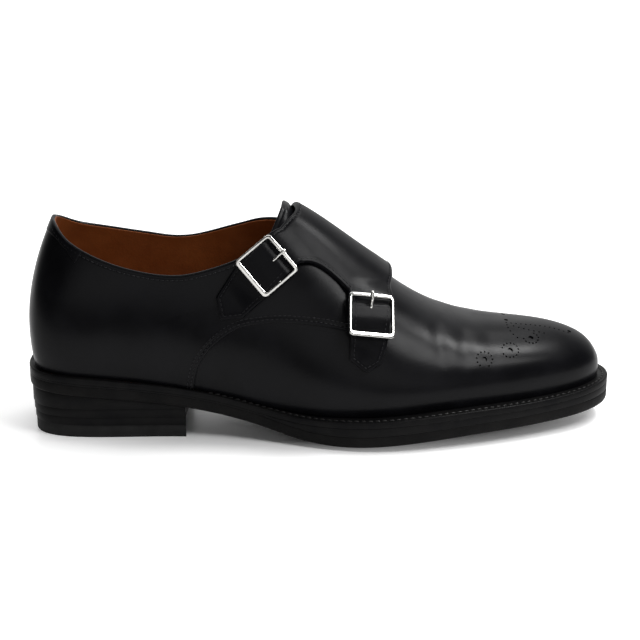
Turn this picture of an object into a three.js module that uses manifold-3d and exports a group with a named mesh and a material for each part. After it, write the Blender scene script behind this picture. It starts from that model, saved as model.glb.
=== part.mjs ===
// A right double monk strap shoe: one shoe, standing empty and unbent on its heel and forefoot.
// Frame while building: x from the back of the sole to the toe tip, +y towards the inner (medial)
// side, -y towards the outer (lateral) side with the two buckles, z up from the ground, millimetres.
// The exported group is moved so that its origin is the bottom centre of its bounding box.

import * as THREE from 'three';
import { mergeVertices } from 'three/addons/utils/BufferGeometryUtils.js';
import Module from 'manifold-3d';

// ---- driving dimensions -------------------------------------------------------------------
const LENGTH = 306;          // sole, back of the heel to the tip of the toe
const BALL_WIDTH = 108;      // sole, across the joints of the foot
const INSTEP_HEIGHT = 112;   // control height of the instep over the seat of the last
const HEEL_BREAST = 83;      // front face of the heel, from the back of the sole
const WALL = 2.2;            // upper: leather and lining together
const GAP = 0.3;             // clearance between pieces that rest on each other
const WELT = 3.2;            // welt thickness
const OUTSOLE = 5.8;         // outsole thickness at its edge
const INSOLE_ABOVE = 1.8;    // insole above the welt
const TOP_PIECE = 6.3;       // rubber top piece of the heel
const LIFT = 4.5;            // one leather heel lift with its clearance
const TONGUE = 2.0;          // tongue thickness
const STRAP = 2.6;           // saddle and strap leather, doubled
const BREAST_BOW = 2.5;      // hollow of the heel breast
const BUCKLE_WIDTH = 23.5;   // across the strap, outside
const BUCKLE_LENGTH = 22.5;  // along the strap, outside
const BAR = 2.4;             // buckle bar width
const BUCKLE_THICK = 2.2;
const PRONG_RADIUS = 0.85;

const L = LENGTH / 100, W = BALL_WIDTH / 100, H = INSTEP_HEIGHT / 100;

// ---- small maths ---------------------------------------------------------------------------
const clamp = (t, a, b) => Math.min(b, Math.max(a, t));
const mix = (a, b, t) => a + (b - a) * t;
const smoothstep = (a, b, t) => { const s = clamp((t - a) / (b - a), 0, 1); return s * s * (3 - 2 * s); };
const steps = (n) => Array.from({ length: n + 1 }, (_, i) => i / n);
const column = (rows, key) => rows.map((r) => r[key]);

// Turns rows of bare values into rows with the names of the columns.
function table(names, rows) {
  return rows.map((r) => Object.fromEntries(names.map((name, i) => [name, r[i]])));
}

// Smooth curve through the (x, y) stations, straight beyond the ends.
function through(xs, ys, x) {
  const n = xs.length;
  const slope = (i) => {
    const a = Math.max(0, i - 1), b = Math.min(n - 1, i + 1);
    return (ys[b] - ys[a]) / (xs[b] - xs[a]);
  };
  if (x <= xs[0]) return ys[0] + slope(0) * (x - xs[0]);
  if (x >= xs[n - 1]) return ys[n - 1] + slope(n - 1) * (x - xs[n - 1]);
  let i = 0;
  while (x > xs[i + 1]) i += 1;
  const h = xs[i + 1] - xs[i], s = (x - xs[i]) / h, s2 = s * s, s3 = s2 * s;
  return (2 * s3 - 3 * s2 + 1) * ys[i] + (s3 - 2 * s2 + s) * h * slope(i)
    + (3 * s2 - 2 * s3) * ys[i + 1] + (s3 - s2) * h * slope(i + 1);
}

// Uniform cubic B-spline height line: evenly spaced control values over 0..LENGTH.
function heightLine(values, x) {
  const n = values.length - 1;
  const at = (i) => {
    if (i < 0) return values[0] + (values[1] - values[0]) * i;
    if (i > n) return values[n] + (values[n] - values[n - 1]) * (i - n);
    return values[i];
  };
  const t = (x / LENGTH) * n, i = Math.floor(t), s = t - i;
  const w = [(1 - s) ** 3, 3 * s ** 3 - 6 * s ** 2 + 4, -3 * s ** 3 + 3 * s ** 2 + 3 * s + 1, s ** 3];
  return w.reduce((sum, wk, k) => sum + wk * at(i - 1 + k), 0) / 6;
}

// Weights of a clamped uniform cubic B-spline with n control points at t in 0..1.
function splineWeights(n, t) {
  const degree = 3, spans = n - degree;
  const knot = (k) => clamp(k - degree, 0, spans) / spans;
  const x = clamp(t, 0, 1 - 1e-9);
  let w = Array.from({ length: n + degree }, (_, i) => (knot(i) <= x && x < knot(i + 1) ? 1 : 0));
  for (let d = 1; d <= degree; d += 1) {
    w = w.slice(0, -1).map((_, i) => {
      const a = knot(i + d) - knot(i), b = knot(i + d + 1) - knot(i + 1);
      return (a > 0 ? ((x - knot(i)) / a) * w[i] : 0) + (b > 0 ? ((knot(i + d + 1) - x) / b) * w[i + 1] : 0);
    });
  }
  return w;
}

// ---- sole heights --------------------------------------------------------------------------
// Control values at every seventeenth of the length, from the heel to the toe.
const EDGE_RISE = [   // underside of the outsole at its edge
  24.4, 23.2, 21.9, 20.2, 18.0, 15.3, 11.6, 7.2, 2.6, 1.7, 3.2, 5.6, 7.8, 9.6, 10.9, 12.0, 13.3, 15.2];
const STACK = [       // welt, midsole and outsole together, at the edge
  10.0, 10.0, 10.0, 9.8, 9.8, 9.8, 9.8, 10.0, 12.4, 13.6, 13.4, 13.2, 13.0, 12.7, 12.4, 12.4, 12.6, 12.8];
const CROWN = [       // how far the middle of the outsole hangs under its edge
  0, 0, 0, 0, 0, 0, 0.4, 1.4, 2.6, 3.0, 2.9, 2.6, 2.2, 1.9, 1.5, 1.0, 0.5, 0];
const edgeRise = (x) => heightLine(EDGE_RISE, x);
const seat = (x) => edgeRise(x) + heightLine(STACK, x);
const midsoleThickness = (x) => heightLine(STACK, x) - WELT - OUTSOLE;

// ---- the last ------------------------------------------------------------------------------
// A clamped cubic B-spline surface. Each row of the table is one section across the foot: at in
// hundredths of the length; widths in hundredths of the ball width from the section's own middle,
// lateral then medial; heights over the seat in hundredths of the instep height.
const SECTIONS = table(
  ['at', 'middle', 'featherLat', 'featherMed', 'bellyLat', 'bellyMed', 'bellyUp',
    'shoulderLat', 'shoulderMed', 'shoulderUp', 'ridge', 'ridgeUp', 'nose'], [
    [1.0, 0, 0, 0, 0, 0, 19.6, 0, 0, 57, 0, 100, 0],
    [1.0, 0, 14.8, 14.8, 16.7, 16.7, 19.6, 13, 13, 57, 0, 100, 0],
    [3.6, 0, 26, 26, 29.6, 29.6, 19.6, 24, 24, 57, 0, 100, 0],
    [11.1, 0, 29.2, 29.2, 34.7, 34.3, 19.6, 29.6, 29.6, 59, 0, 100, 0],
    [21.6, -0.9, 26.9, 27.3, 33.8, 32.9, 18.8, 29.6, 29.6, 62.5, 0, 100, 0],
    [32.0, -2.8, 25.9, 25, 33.8, 31.5, 17, 28.7, 28.7, 69.6, 0.9, 99, 0],
    [41.2, -4.6, 28.7, 25.5, 37, 33.3, 15.2, 28.7, 25, 74.5, 1.9, 99.5, 0],
    [49.7, -5.6, 36.1, 31, 43, 38.9, 13, 29.6, 25, 66, 3.7, 88.4, 0],
    [58.2, -4.6, 41.7, 39.4, 47.7, 46.3, 12, 31.5, 28.7, 50, 4.6, 67, 0],
    [66.7, -1.9, 41.7, 43, 46.8, 49, 11.2, 32.4, 32.4, 34.4, 4.2, 42.7, 0],
    [75.2, 0.9, 38.4, 40.3, 42.6, 44.9, 11, 31.5, 31.5, 25.5, 2.8, 31.4, 0],
    [83.0, 2.8, 33.3, 33.8, 37, 37.5, 11, 26.9, 26.9, 21.9, 1.9, 28.3, 0],
    [90.2, 4.2, 26.4, 26.4, 29.6, 29.2, 10.7, 20.4, 20.4, 19, 0.9, 25.7, 0],
    [95.6, 4.6, 18.5, 18.5, 19.9, 19.9, 7.1, 13.9, 13.9, 13.8, 0, 16.7, 1.8],
    [98.3, 4.6, 8.3, 8.3, 8.3, 8.3, 3.1, 8.3, 8.3, 5.4, 0, 7.1, 0],
    [98.3, 4.6, 0, 0, 0, 0, 3.1, 0, 0, 5.4, 0, 7.1, 0],
  ]);
// Forward lean of the heel's back line at each height over the seat, mm.
const HEEL_BACK = table(['up', 'lean'], [
  [0, 0], [8, -2.4], [22, -4.1], [38, -3.9], [52, -1.4], [64, 2.8], [76, 9], [95, 20.5], [118, 36.5]]);
const HEEL_FADE = 75;        // the lean dies out this far from the back of the last
const NOSE_SHARE = { belly: 0.35, shoulder: 0.7, ridge: 1 };

// Control net: x, y and height over the seat.
const NET = SECTIONS.map((s) => {
  const x = s.at * L, fade = 1 - smoothstep(0, HEEL_FADE, x - SECTIONS[0].at * L);
  const lean = (up) => fade * through(column(HEEL_BACK, 'up'), column(HEEL_BACK, 'lean'), up);
  const point = (across, up, share) => [
    x + lean(up * H) + share * s.nose * L, (s.middle + across) * W, up * H];
  return [
    point(-s.featherLat, 0, 0), point(-s.bellyLat, s.bellyUp, NOSE_SHARE.belly),
    point(-s.shoulderLat, s.shoulderUp, NOSE_SHARE.shoulder), point(s.ridge, s.ridgeUp, NOSE_SHARE.ridge),
    point(s.shoulderMed, s.shoulderUp, NOSE_SHARE.shoulder),
    point(s.bellyMed, s.bellyUp, NOSE_SHARE.belly), point(s.featherMed, 0, 0)];
});

// Point of the last's surface: u from heel to toe, v from the lateral feather edge over the ridge
// (v = 0.5) to the medial feather edge.
function lastPoint(u, v) {
  const wu = splineWeights(NET.length, u), wv = splineWeights(NET[0].length, v);
  const p = [0, 0, 0];
  NET.forEach((row, i) => row.forEach((c, j) => c.forEach((value, k) => { p[k] += wu[i] * wv[j] * value; })));
  return new THREE.Vector3(p[0], p[1], p[2] + seat(p[0]));
}

// Outward normal of the last's surface.
function lastNormal(u, v) {
  const d = 1e-3, uc = clamp(u, d, 1 - d), vc = clamp(v, d, 1 - d);
  const du = lastPoint(uc + d, vc).sub(lastPoint(uc - d, vc));
  const dv = lastPoint(uc, vc + d).sub(lastPoint(uc, vc - d));
  return dv.cross(du).normalize().negate();
}

const lifted = (u, v, off) => lastPoint(u, v).addScaledVector(lastNormal(u, v), off);

// ---- meshes --------------------------------------------------------------------------------
// Collects quads, then welds them into one closed body.
class Skin {
  constructor() { this.triangles = []; }

  quad(a, b, c, d) { this.triangles.push(a, b, c, a, c, d); }

  // Grid of points; flip turns its faces round.
  grid(rows, flip = false) {
    for (let i = 0; i + 1 < rows.length; i += 1) {
      for (let j = 0; j + 1 < rows[i].length; j += 1) {
        const [a, b, c, d] = [rows[i][j], rows[i + 1][j], rows[i + 1][j + 1], rows[i][j + 1]];
        if (flip) this.quad(a, d, c, b); else this.quad(a, b, c, d);
      }
    }
  }

  // Strip between two lines of equal length.
  strip(lineA, lineB, flip = false) { this.grid([lineA, lineB], flip); }

  geometry() {
    const flat = new THREE.BufferGeometry().setFromPoints(this.triangles);
    const welded = mergeVertices(flat, 1e-3);
    const old = welded.getIndex().array, kept = [];
    for (let i = 0; i < old.length; i += 3) {
      const [a, b, c] = [old[i], old[i + 1], old[i + 2]];
      if (a !== b && b !== c && a !== c) kept.push(a, b, c);
    }
    welded.setIndex(kept);
    if (volume(welded) < 0) {
      for (let i = 0; i < kept.length; i += 3) [kept[i], kept[i + 1]] = [kept[i + 1], kept[i]];
      welded.setIndex(kept);
    }
    return welded;
  }
}

function volume(geometry) {
  const p = geometry.getAttribute('position'), index = geometry.getIndex().array;
  const a = new THREE.Vector3(), b = new THREE.Vector3(), c = new THREE.Vector3();
  let sum = 0;
  for (let i = 0; i < index.length; i += 3) {
    a.fromBufferAttribute(p, index[i]);
    b.fromBufferAttribute(p, index[i + 1]);
    c.fromBufferAttribute(p, index[i + 2]);
    sum += a.dot(b.cross(c)) / 6;
  }
  return sum;
}

// Closed body between two grids of points that share their outline.
function slab(top, bottom) {
  const skin = new Skin();
  skin.grid(top);
  skin.grid(bottom, true);
  const last = top.length - 1, side = top[0].length - 1;
  const col = (grid, j) => grid.map((row) => row[j]);
  skin.strip(bottom[0], top[0]);
  skin.strip(top[last], bottom[last]);
  skin.strip(col(top, 0), col(bottom, 0));
  skin.strip(col(bottom, side), col(top, side));
  return skin;
}

const outer = new THREE.Group();
outer.name = 'monk_strap_shoe';
const pieces = new THREE.Group();
outer.add(pieces);

const FINISH = {
  leather: new THREE.MeshStandardMaterial({ color: 0x111113, roughness: 0.22, metalness: 0 }),
  edge: new THREE.MeshStandardMaterial({ color: 0x17171a, roughness: 0.45, metalness: 0 }),
  lining: new THREE.MeshStandardMaterial({ color: 0x8a5128, roughness: 0.6, metalness: 0 }),
  rubber: new THREE.MeshStandardMaterial({ color: 0x1a1a1c, roughness: 0.75, metalness: 0 }),
  nickel: new THREE.MeshStandardMaterial({ color: 0xc9cacd, roughness: 0.18, metalness: 1 }),
};

function add(name, geometry, finish) {
  const mesh = new THREE.Mesh(geometry, FINISH[finish]);
  mesh.name = name;
  pieces.add(mesh);
  return mesh;
}

// ---- sole outline --------------------------------------------------------------------------
// How far the sole stands out from the feather edge of the last.
const MARGIN = table(['x', 'out'], [
  [0, 3.0], [37, 3.0], [87, 2.8], [117, 3.2], [147, 5.6], [182, 7.6], [227, 7.5], [267, 6.4], [306, 5.2]]);
const margin = (x) => through(column(MARGIN, 'x'), column(MARGIN, 'out'), x);

// Point of the feather edge moved outwards in plan; side is -1 lateral or +1 medial.
function edgePoint(u, side, out) {
  const v = side < 0 ? 0 : 1, d = 1e-3;
  const p = lastPoint(u, v), a = lastPoint(clamp(u - d, 0, 1), v), b = lastPoint(clamp(u + d, 0, 1), v);
  const tx = b.x - a.x, ty = b.y - a.y, len = Math.hypot(tx, ty);
  const shift = out(p.x);
  if (u === 0 || u === 1) return new THREE.Vector2(p.x + (u === 0 ? -shift : shift), p.y);
  return new THREE.Vector2(p.x + (side * -ty * shift) / len, p.y + (side * tx * shift) / len);
}

// Stations along the length, closer together round the heel and the toe.
const roundEnds = (t) => 0.5 - 0.5 * Math.cos(Math.PI * t);
const ACROSS = [-1, -0.85, -0.6, -0.3, 0, 0.3, 0.6, 0.85, 1];

// Rows of plan points across the sole. A row runs between the edges at edgeOf(t) and bows towards
// the middle line at middleOf(t), so that the rows fan out round the ends.
function planRows(ts, out, edgeOf = roundEnds, middleOf = (t) => t) {
  return ts.map((t) => {
    const a = edgePoint(edgeOf(t), -1, out), b = edgePoint(edgeOf(t), 1, out);
    const m = middleOf(t), middle = (edgePoint(m, -1, out).x + edgePoint(m, 1, out).x) / 2;
    return ACROSS.map((across) => {
      const k = (across + 1) / 2, inside = 1 - across * across;
      const closed = t === 0 || t === 1;
      return {
        x: mix(mix(a.x, b.x, k), closed ? a.x : middle, inside),
        y: mix(a.y, b.y, k),
        across: closed ? 1 : across };
    });
  });
}

function sheet(rows, top, bottom) {
  const raise = (height) => rows.map((row) => row.map((p) => new THREE.Vector3(p.x, p.y, height(p))));
  return slab(raise(top), raise(bottom));
}

const STATIONS = steps(34);
const full = planRows(STATIONS, margin);
const underside = (p) => Math.max(0, edgeRise(p.x) - heightLine(CROWN, p.x) * (1 - Math.abs(p.across) ** 3));
const midTop = (x) => seat(x) - WELT - GAP;
const midBottom = (x) => seat(x) - WELT - midsoleThickness(x);

add('outsole', sheet(full, (p) => midBottom(p.x) - GAP, underside).geometry(), 'edge');
add('midsole', sheet(full, (p) => midTop(p.x), (p) => midBottom(p.x)).geometry(), 'edge');

// The welt is a ring under the edge of the upper.
const WELT_IN = -3.2;
{
  const loop = (out, height) => {
    const [lat, med] = [-1, 1].map((side) => STATIONS.map((t) => edgePoint(roundEnds(t), side, out)));
    return [...lat, ...med.slice(1, -1).reverse(), lat[0]].map((p) => new THREE.Vector3(p.x, p.y, height(p.x)));
  };
  const base = (x) => seat(x) - WELT;
  const skin = new Skin();
  skin.grid([loop(margin, seat), loop(() => WELT_IN, seat), loop(() => WELT_IN, base), loop(margin, base),
    loop(margin, seat)]);
  add('welt', skin.geometry(), 'edge');
}

// Insole with its cork filling: it lies inside the welt and shows inside the upper.
const inner = planRows(STATIONS.slice(1, -1), () => WELT_IN - GAP);
add('insole', sheet(inner, (p) => seat(p.x) + INSOLE_ABOVE, (p) => midTop(p.x) + GAP).geometry(), 'lining');

// ---- heel ----------------------------------------------------------------------------------
// Station u at which the edge passes the heel breast.
function breastStation(side, out) {
  let lo = 0, hi = 0.5;
  for (let i = 0; i < 40; i += 1) {
    const m = (lo + hi) / 2;
    if (edgePoint(m, side, out).x < HEEL_BREAST) lo = m; else hi = m;
  }
  return lo;
}

// Plan rows of the heel, set in from the sole's edge, with a hollow breast.
function heelRows(inset) {
  const out = (x) => margin(x) - inset, ts = steps(14);
  const end = (breastStation(-1, out) + breastStation(1, out)) / 2;
  return planRows(ts, out, (t) => end * t * t, (t) => end * t).map((row, i) => row.map((p, j) => {
    const across = ACROSS[j], k = (across + 1) / 2;
    const x = i < ts.length - 1 ? p.x : HEEL_BREAST;
    const y = i < ts.length - 1 ? p.y
      : mix(edgePoint(breastStation(-1, out), -1, out).y, edgePoint(breastStation(1, out), 1, out).y, k);
    return { x: x - BREAST_BOW * (1 - across * across) * ts[i], y, across };
  }));
}
const lift1 = TOP_PIECE + GAP, lift2 = lift1 + LIFT, wedge = lift2 + LIFT;
const level = (z) => () => z;
add('top_piece', sheet(heelRows(2.2), level(TOP_PIECE), level(0)).geometry(), 'rubber');
add('heel_lift_1', sheet(heelRows(1.8), level(lift2 - GAP), level(lift1)).geometry(), 'edge');
add('heel_lift_2', sheet(heelRows(1.4), level(wedge - GAP), level(lift2)).geometry(), 'edge');
add('heel_wedge', sheet(heelRows(1.0), (p) => edgeRise(p.x) - GAP, level(wedge)).geometry(), 'edge');

// ---- upper ---------------------------------------------------------------------------------
// Topline: the collar and the throat, as v on each side at stations u; both sides meet on the
// ridge at the front of the throat.
const TOPLINE = table(['u', 'lat', 'med'], [
  [0, 0.322, 0.678], [0.045, 0.312, 0.694], [0.10, 0.278, 0.717], [0.163, 0.243, 0.733],
  [0.21, 0.224, 0.743], [0.253, 0.217, 0.75], [0.29, 0.226, 0.739], [0.34, 0.258, 0.703],
  [0.375, 0.3, 0.668], [0.41, 0.335, 0.64], [0.46, 0.36, 0.62], [0.51, 0.392, 0.6]]);
const THROAT_U = 0.553;      // front of the throat opening
const THROAT_FROM = 0.51;
function topline(u, key) {
  if (u >= THROAT_U) return 0.5;
  const open = (x) => through(column(TOPLINE, 'u'), column(TOPLINE, key), x);
  if (u <= THROAT_FROM) return open(u);
  const s = (u - THROAT_FROM) / (THROAT_U - THROAT_FROM);
  return mix(0.5, open(THROAT_FROM), Math.sqrt(1 - s * s));
}

const UP = 9;                // cells up each side of the upper
const UPPER_U = [
  ...steps(16).map((t) => 0.51 * (0.35 * t + 0.65 * (0.5 - 0.5 * Math.cos(Math.PI * t)))),
  0.522, 0.534, 0.544, 0.550, THROAT_U,
  ...steps(20).slice(1).map((t) => mix(THROAT_U, 1, 0.4 * t + 0.6 * Math.sin((Math.PI / 2) * t)))];
{
  const side = (key, off) => UPPER_U.map((u, i) => steps(UP).map((s) => {
    const end = i === 0 || i === UPPER_U.length - 1;
    const mirrored = end && key === 'med';
    const v = key === 'lat' || mirrored ? mix(0, topline(u, 'lat'), s) : mix(1, topline(u, 'med'), s);
    const p = lastPoint(u, v), n = lastNormal(u, v);
    if (s === 0) n.setZ(0).normalize();
    p.addScaledVector(n, off);
    if (s === 0) p.z = seat(p.x) + GAP;
    return p;
  }));
  const skin = new Skin();
  const outLat = side('lat', 0), inLat = side('lat', -WALL), outMed = side('med', 0), inMed = side('med', -WALL);
  const open = UPPER_U.filter((u) => u <= THROAT_U).length;
  skin.grid(outLat);
  skin.grid(inLat, true);
  skin.grid(outMed, true);
  skin.grid(inMed);
  skin.strip(inLat.map((r) => r[0]), outLat.map((r) => r[0]), true);
  skin.strip(inMed.map((r) => r[0]), outMed.map((r) => r[0]));
  skin.strip(inLat.slice(0, open).map((r) => r[UP]), outLat.slice(0, open).map((r) => r[UP]));
  skin.strip(inMed.slice(0, open).map((r) => r[UP]), outMed.slice(0, open).map((r) => r[UP]), true);
  add('upper', skin.geometry(), 'leather');
}

// ---- patches on the last -------------------------------------------------------------------
// Closed sheet over a grid of {u, v} points, between two distances from the last.
function overlay(cells, under, over) {
  const raise = (off) => cells.map((row) => row.map((c) => lifted(c.u, c.v, off(c))));
  return slab(raise(over), raise(under));
}

// Tongue: inside the throat, a clearance under the upper.
const TONGUE_ENDS = { rear: 0.392, front: 0.605 };
const TONGUE_EDGE = table(['u', 'lat', 'med'], [
  [0.385, 0.35, 0.63], [0.43, 0.315, 0.66], [0.5, 0.33, 0.65], [0.56, 0.37, 0.62], [0.605, 0.43, 0.57]]);
{
  const edge = (u, key) => through(column(TONGUE_EDGE, 'u'), column(TONGUE_EDGE, key), u);
  const cells = steps(12).map((t) => {
    const u = mix(TONGUE_ENDS.rear, TONGUE_ENDS.front, t);
    return steps(8).map((s) => ({ u, v: mix(edge(u, 'lat'), edge(u, 'med'), s) }));
  });
  const top = -WALL - 2 * GAP;
  add('tongue', overlay(cells, () => top - TONGUE, () => top).geometry(), 'leather');
}

// Saddle: the part of the medial quarter that crosses the instep, ending in two strap arms.
// Each edge is a smooth line through (u, v) points from the medial side to the lateral side.
const line = (points) => (t) => {
  const at = points.map((_, i) => i / (points.length - 1));
  return { u: through(at, points.map((p) => p[0]), t), v: through(at, points.map((p) => p[1]), t) };
};
const REAR = line([[0.403, 0.655], [0.414, 0.58], [0.42, 0.5], [0.418, 0.43], [0.4, 0.356]]);
const FRONT = line([[0.56, 0.655], [0.563, 0.58], [0.5645, 0.5], [0.564, 0.43], [0.5605, 0.36]]);
const SCALLOP = line([[0.427, 0.286], [0.4385, 0.297], [0.452, 0.304], [0.468, 0.302], [0.485, 0.293], [0.4995, 0.279]]);
const ARM_CELLS = 4, SCALLOP_CELLS = 6, BODY_ROWS = 10;

// Blends four boundary lines into a grid: a and b run along s, c and d run along t.
function coons(a, b, c, d, sValues, tValues) {
  const corner = [a(0), a(1), b(0), b(1)];
  return tValues.map((t) => sValues.map((s) => {
    const out = {};
    ['u', 'v'].forEach((k) => {
      const ruled = mix(a(s)[k], b(s)[k], t) + mix(c(t)[k], d(t)[k], s);
      out[k] = ruled - mix(mix(corner[0][k], corner[1][k], s), mix(corner[2][k], corner[3][k], s), t);
    });
    return out;
  }));
}

const upperRoot = [REAR(1), SCALLOP(0)], lowerRoot = [SCALLOP(1), FRONT(1)];
const straight = (p, q) => (t) => ({ u: mix(p.u, q.u, t), v: mix(p.v, q.v, t) });
const ROOT_SHARE = 0.3;      // share of the saddle's lateral edge that each arm takes
function lateralEdge(s) {
  if (s < ROOT_SHARE) return straight(...upperRoot)(s / ROOT_SHARE);
  if (s > 1 - ROOT_SHARE) return straight(...lowerRoot)((s - 1 + ROOT_SHARE) / ROOT_SHARE);
  return SCALLOP((s - ROOT_SHARE) / (1 - 2 * ROOT_SHARE));
}
const bodySteps = [
  ...steps(ARM_CELLS).map((t) => t * ROOT_SHARE),
  ...steps(SCALLOP_CELLS).slice(1, -1).map((t) => mix(ROOT_SHARE, 1 - ROOT_SHARE, t)),
  ...steps(ARM_CELLS).map((t) => mix(1 - ROOT_SHARE, 1, t))];
const medialEdge = straight(REAR(0), FRONT(0));
const body = coons(medialEdge, lateralEdge, REAR, FRONT, bodySteps, steps(BODY_ROWS));

// One strap arm: from its root down to a pointed tip, given by its two edges and its point.
function arm(root, left, right, tip) {
  const edgeA = line([[root[0].u, root[0].v], ...left]), edgeB = line([[root[1].u, root[1].v], ...right]);
  return [...steps(7).slice(1), 'tip'].map((t) => steps(ARM_CELLS).map((s) => {
    if (t !== 'tip') return straight(edgeA(t), edgeB(t))(s);
    return straight(s < 0.5 ? edgeA(1) : edgeB(1), { u: tip[0], v: tip[1] })(1 - Math.abs(2 * s - 1));
  }));
}
const upperArm = arm(upperRoot,
  [[0.371, 0.303], [0.343, 0.25], [0.3255, 0.213], [0.3145, 0.188]],
  [[0.4085, 0.25], [0.386, 0.212], [0.368, 0.186], [0.351, 0.162]], [0.3205, 0.15]);
const lowerArm = arm(lowerRoot,
  [[0.503, 0.24], [0.5035, 0.207], [0.5035, 0.173], [0.503, 0.14]],
  [[0.56, 0.303], [0.5585, 0.242], [0.556, 0.19], [0.5495, 0.145]], [0.527, 0.119]);

// The saddle bridges the tongue, so it stands off further towards the front of the instep.
const standOff = (c) => GAP + 2.3 * smoothstep(0.44, 0.57, c.u) * smoothstep(0.27, 0.42, c.v)
  * (1 - smoothstep(0.56, 0.65, c.v));
{
  const top = (c) => standOff(c) + STRAP * (1 - 0.6 * smoothstep(0.6, 0.655, c.v));
  const last = body[body.length - 1], n = bodySteps.length - 1;
  const parts = [body, [last.slice(0, ARM_CELLS + 1), ...upperArm], [last.slice(n - ARM_CELLS), ...lowerArm]];
  const skin = new Skin();
  const raise = (grid, off) => grid.map((row) => row.map((c) => lifted(c.u, c.v, off(c))));
  const [tops, unders] = [top, standOff].map((off) => parts.map((grid) => raise(grid, off)));
  tops.forEach((grid) => skin.grid(grid));
  unders.forEach((grid) => skin.grid(grid, true));
  const col = (grid, j) => grid.map((row) => row[j < 0 ? row.length + j : j]);
  skin.strip(unders[0][0], tops[0][0]);
  const scallop = (g) => g[0][BODY_ROWS].slice(ARM_CELLS, n - ARM_CELLS + 1);
  skin.strip(scallop(tops), scallop(unders));
  skin.strip(col(tops[0], 0), col(unders[0], 0));
  skin.strip(col(unders[0], -1), col(tops[0], -1));
  [1, 2].forEach((k) => {
    skin.strip(col(tops[k], 0), col(unders[k], 0));
    skin.strip(col(unders[k], -1), col(tops[k], -1));
    skin.strip(tops[k][tops[k].length - 1], unders[k][unders[k].length - 1]);
  });
  add('saddle_strap', skin.geometry(), 'leather');
}

// ---- buckles -------------------------------------------------------------------------------
const wasm = await Module();
wasm.setup();

function toSolid(geometry) {
  const bare = geometry.clone();
  bare.deleteAttribute('normal');
  bare.deleteAttribute('uv');
  const welded = mergeVertices(bare.index ? bare.toNonIndexed() : bare, 1e-4);
  return new wasm.Manifold(new wasm.Mesh({
    numProp: 3, vertProperties: welded.attributes.position.array, triVerts: welded.index.array }));
}

function toGeometry(solid) {
  const mesh = solid.getMesh(), geometry = new THREE.BufferGeometry();
  geometry.setAttribute('position', new THREE.BufferAttribute(new Float32Array(mesh.vertProperties), 3));
  geometry.setIndex(Array.from(mesh.triVerts));
  return geometry;
}

// Rounded rectangle as a path, centred on the origin.
function roundedRect(path, w, h, r) {
  const x = w / 2, y = h / 2;
  path.moveTo(-x + r, -y);
  path.lineTo(x - r, -y);
  path.absarc(x - r, -y + r, r, -Math.PI / 2, 0, false);
  path.lineTo(x, y - r);
  path.absarc(x - r, y - r, r, 0, Math.PI / 2, false);
  path.lineTo(-x + r, y);
  path.absarc(-x + r, y - r, r, Math.PI / 2, Math.PI, false);
  path.lineTo(-x, -y + r);
  path.absarc(-x + r, -y + r, r, Math.PI, 1.5 * Math.PI, false);
  return path;
}

// Buckle in its own frame: x across the strap, y along it towards the instep, z away from it.
const CORNER = 2.6, BEVEL = 0.5, CENTRE_BAR = 1.6;
const frameShape = roundedRect(new THREE.Shape(), BUCKLE_WIDTH - 2 * BEVEL, BUCKLE_LENGTH - 2 * BEVEL, CORNER);
frameShape.holes.push(roundedRect(
  new THREE.Path(), BUCKLE_WIDTH - 2 * BAR + 2 * BEVEL, BUCKLE_LENGTH - 2 * BAR + 2 * BEVEL, CORNER * 0.6));
const ring = new THREE.ExtrudeGeometry(frameShape, {
  depth: BUCKLE_THICK - 2 * BEVEL, bevelEnabled: true, bevelThickness: BEVEL, bevelSize: BEVEL,
  bevelSegments: 1, curveSegments: 3 });
ring.translate(0, 0, BEVEL);
const centreBar = new THREE.CylinderGeometry(CENTRE_BAR / 2, CENTRE_BAR / 2, BUCKLE_WIDTH - BAR, 10);
centreBar.rotateZ(Math.PI / 2);
centreBar.translate(0, 0, CENTRE_BAR / 2 + 0.2);
const buckleGeometry = toGeometry(toSolid(ring).add(toSolid(centreBar)));

// Prong: from beside the centre bar up and over the instep end of the frame.
const prongRise = BUCKLE_THICK + GAP + PRONG_RADIUS;
const prongPath = new THREE.CatmullRomCurve3([
  new THREE.Vector3(0, CENTRE_BAR / 2 + PRONG_RADIUS + GAP + 0.2, PRONG_RADIUS + 0.5),
  new THREE.Vector3(0, BUCKLE_LENGTH / 2 - BAR - 1.6, prongRise - 0.3),
  new THREE.Vector3(0, BUCKLE_LENGTH / 2 - BAR * 0.5, prongRise),
  new THREE.Vector3(0, BUCKLE_LENGTH / 2 + 0.8, prongRise)]);
const prongSection = new THREE.Shape().absarc(0, 0, PRONG_RADIUS, 0, 2 * Math.PI, false);
const prongGeometry = new THREE.ExtrudeGeometry(prongSection, {
  steps: 8, curveSegments: 4, bevelEnabled: false, extrudePath: prongPath });

// Stands a buckle and its prong on the strap at (u, v), its y axis pointing towards (uTo, vTo).
function fitBuckle(name, u, v, uTo, vTo, rise) {
  const z = lastNormal(u, v);
  const y = lastPoint(uTo, vTo).sub(lastPoint(u, v));
  y.addScaledVector(z, -y.dot(z)).normalize();
  const x = y.clone().cross(z);
  const place = new THREE.Matrix4().makeBasis(x, y, z).setPosition(lifted(u, v, rise));
  const buckle = add(`buckle_${name}`, buckleGeometry, 'nickel');
  const prong = add(`prong_${name}`, prongGeometry, 'nickel');
  [buckle, prong].forEach((mesh) => mesh.applyMatrix4(place));
}
const BUCKLE_RISE = GAP + STRAP + GAP + 0.9;
fitBuckle('upper', 0.3836, 0.259, 0.4125, 0.31, BUCKLE_RISE);
fitBuckle('lower', 0.5308, 0.239, 0.5298, 0.33, BUCKLE_RISE + 0.6);

// ---- origin at the bottom centre of the bounding box ------------------------------------------
const box = new THREE.Box3().setFromObject(pieces);
pieces.position.set(-(box.min.x + box.max.x) / 2, -(box.min.y + box.max.y) / 2, -box.min.z);

export default outer;
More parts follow.
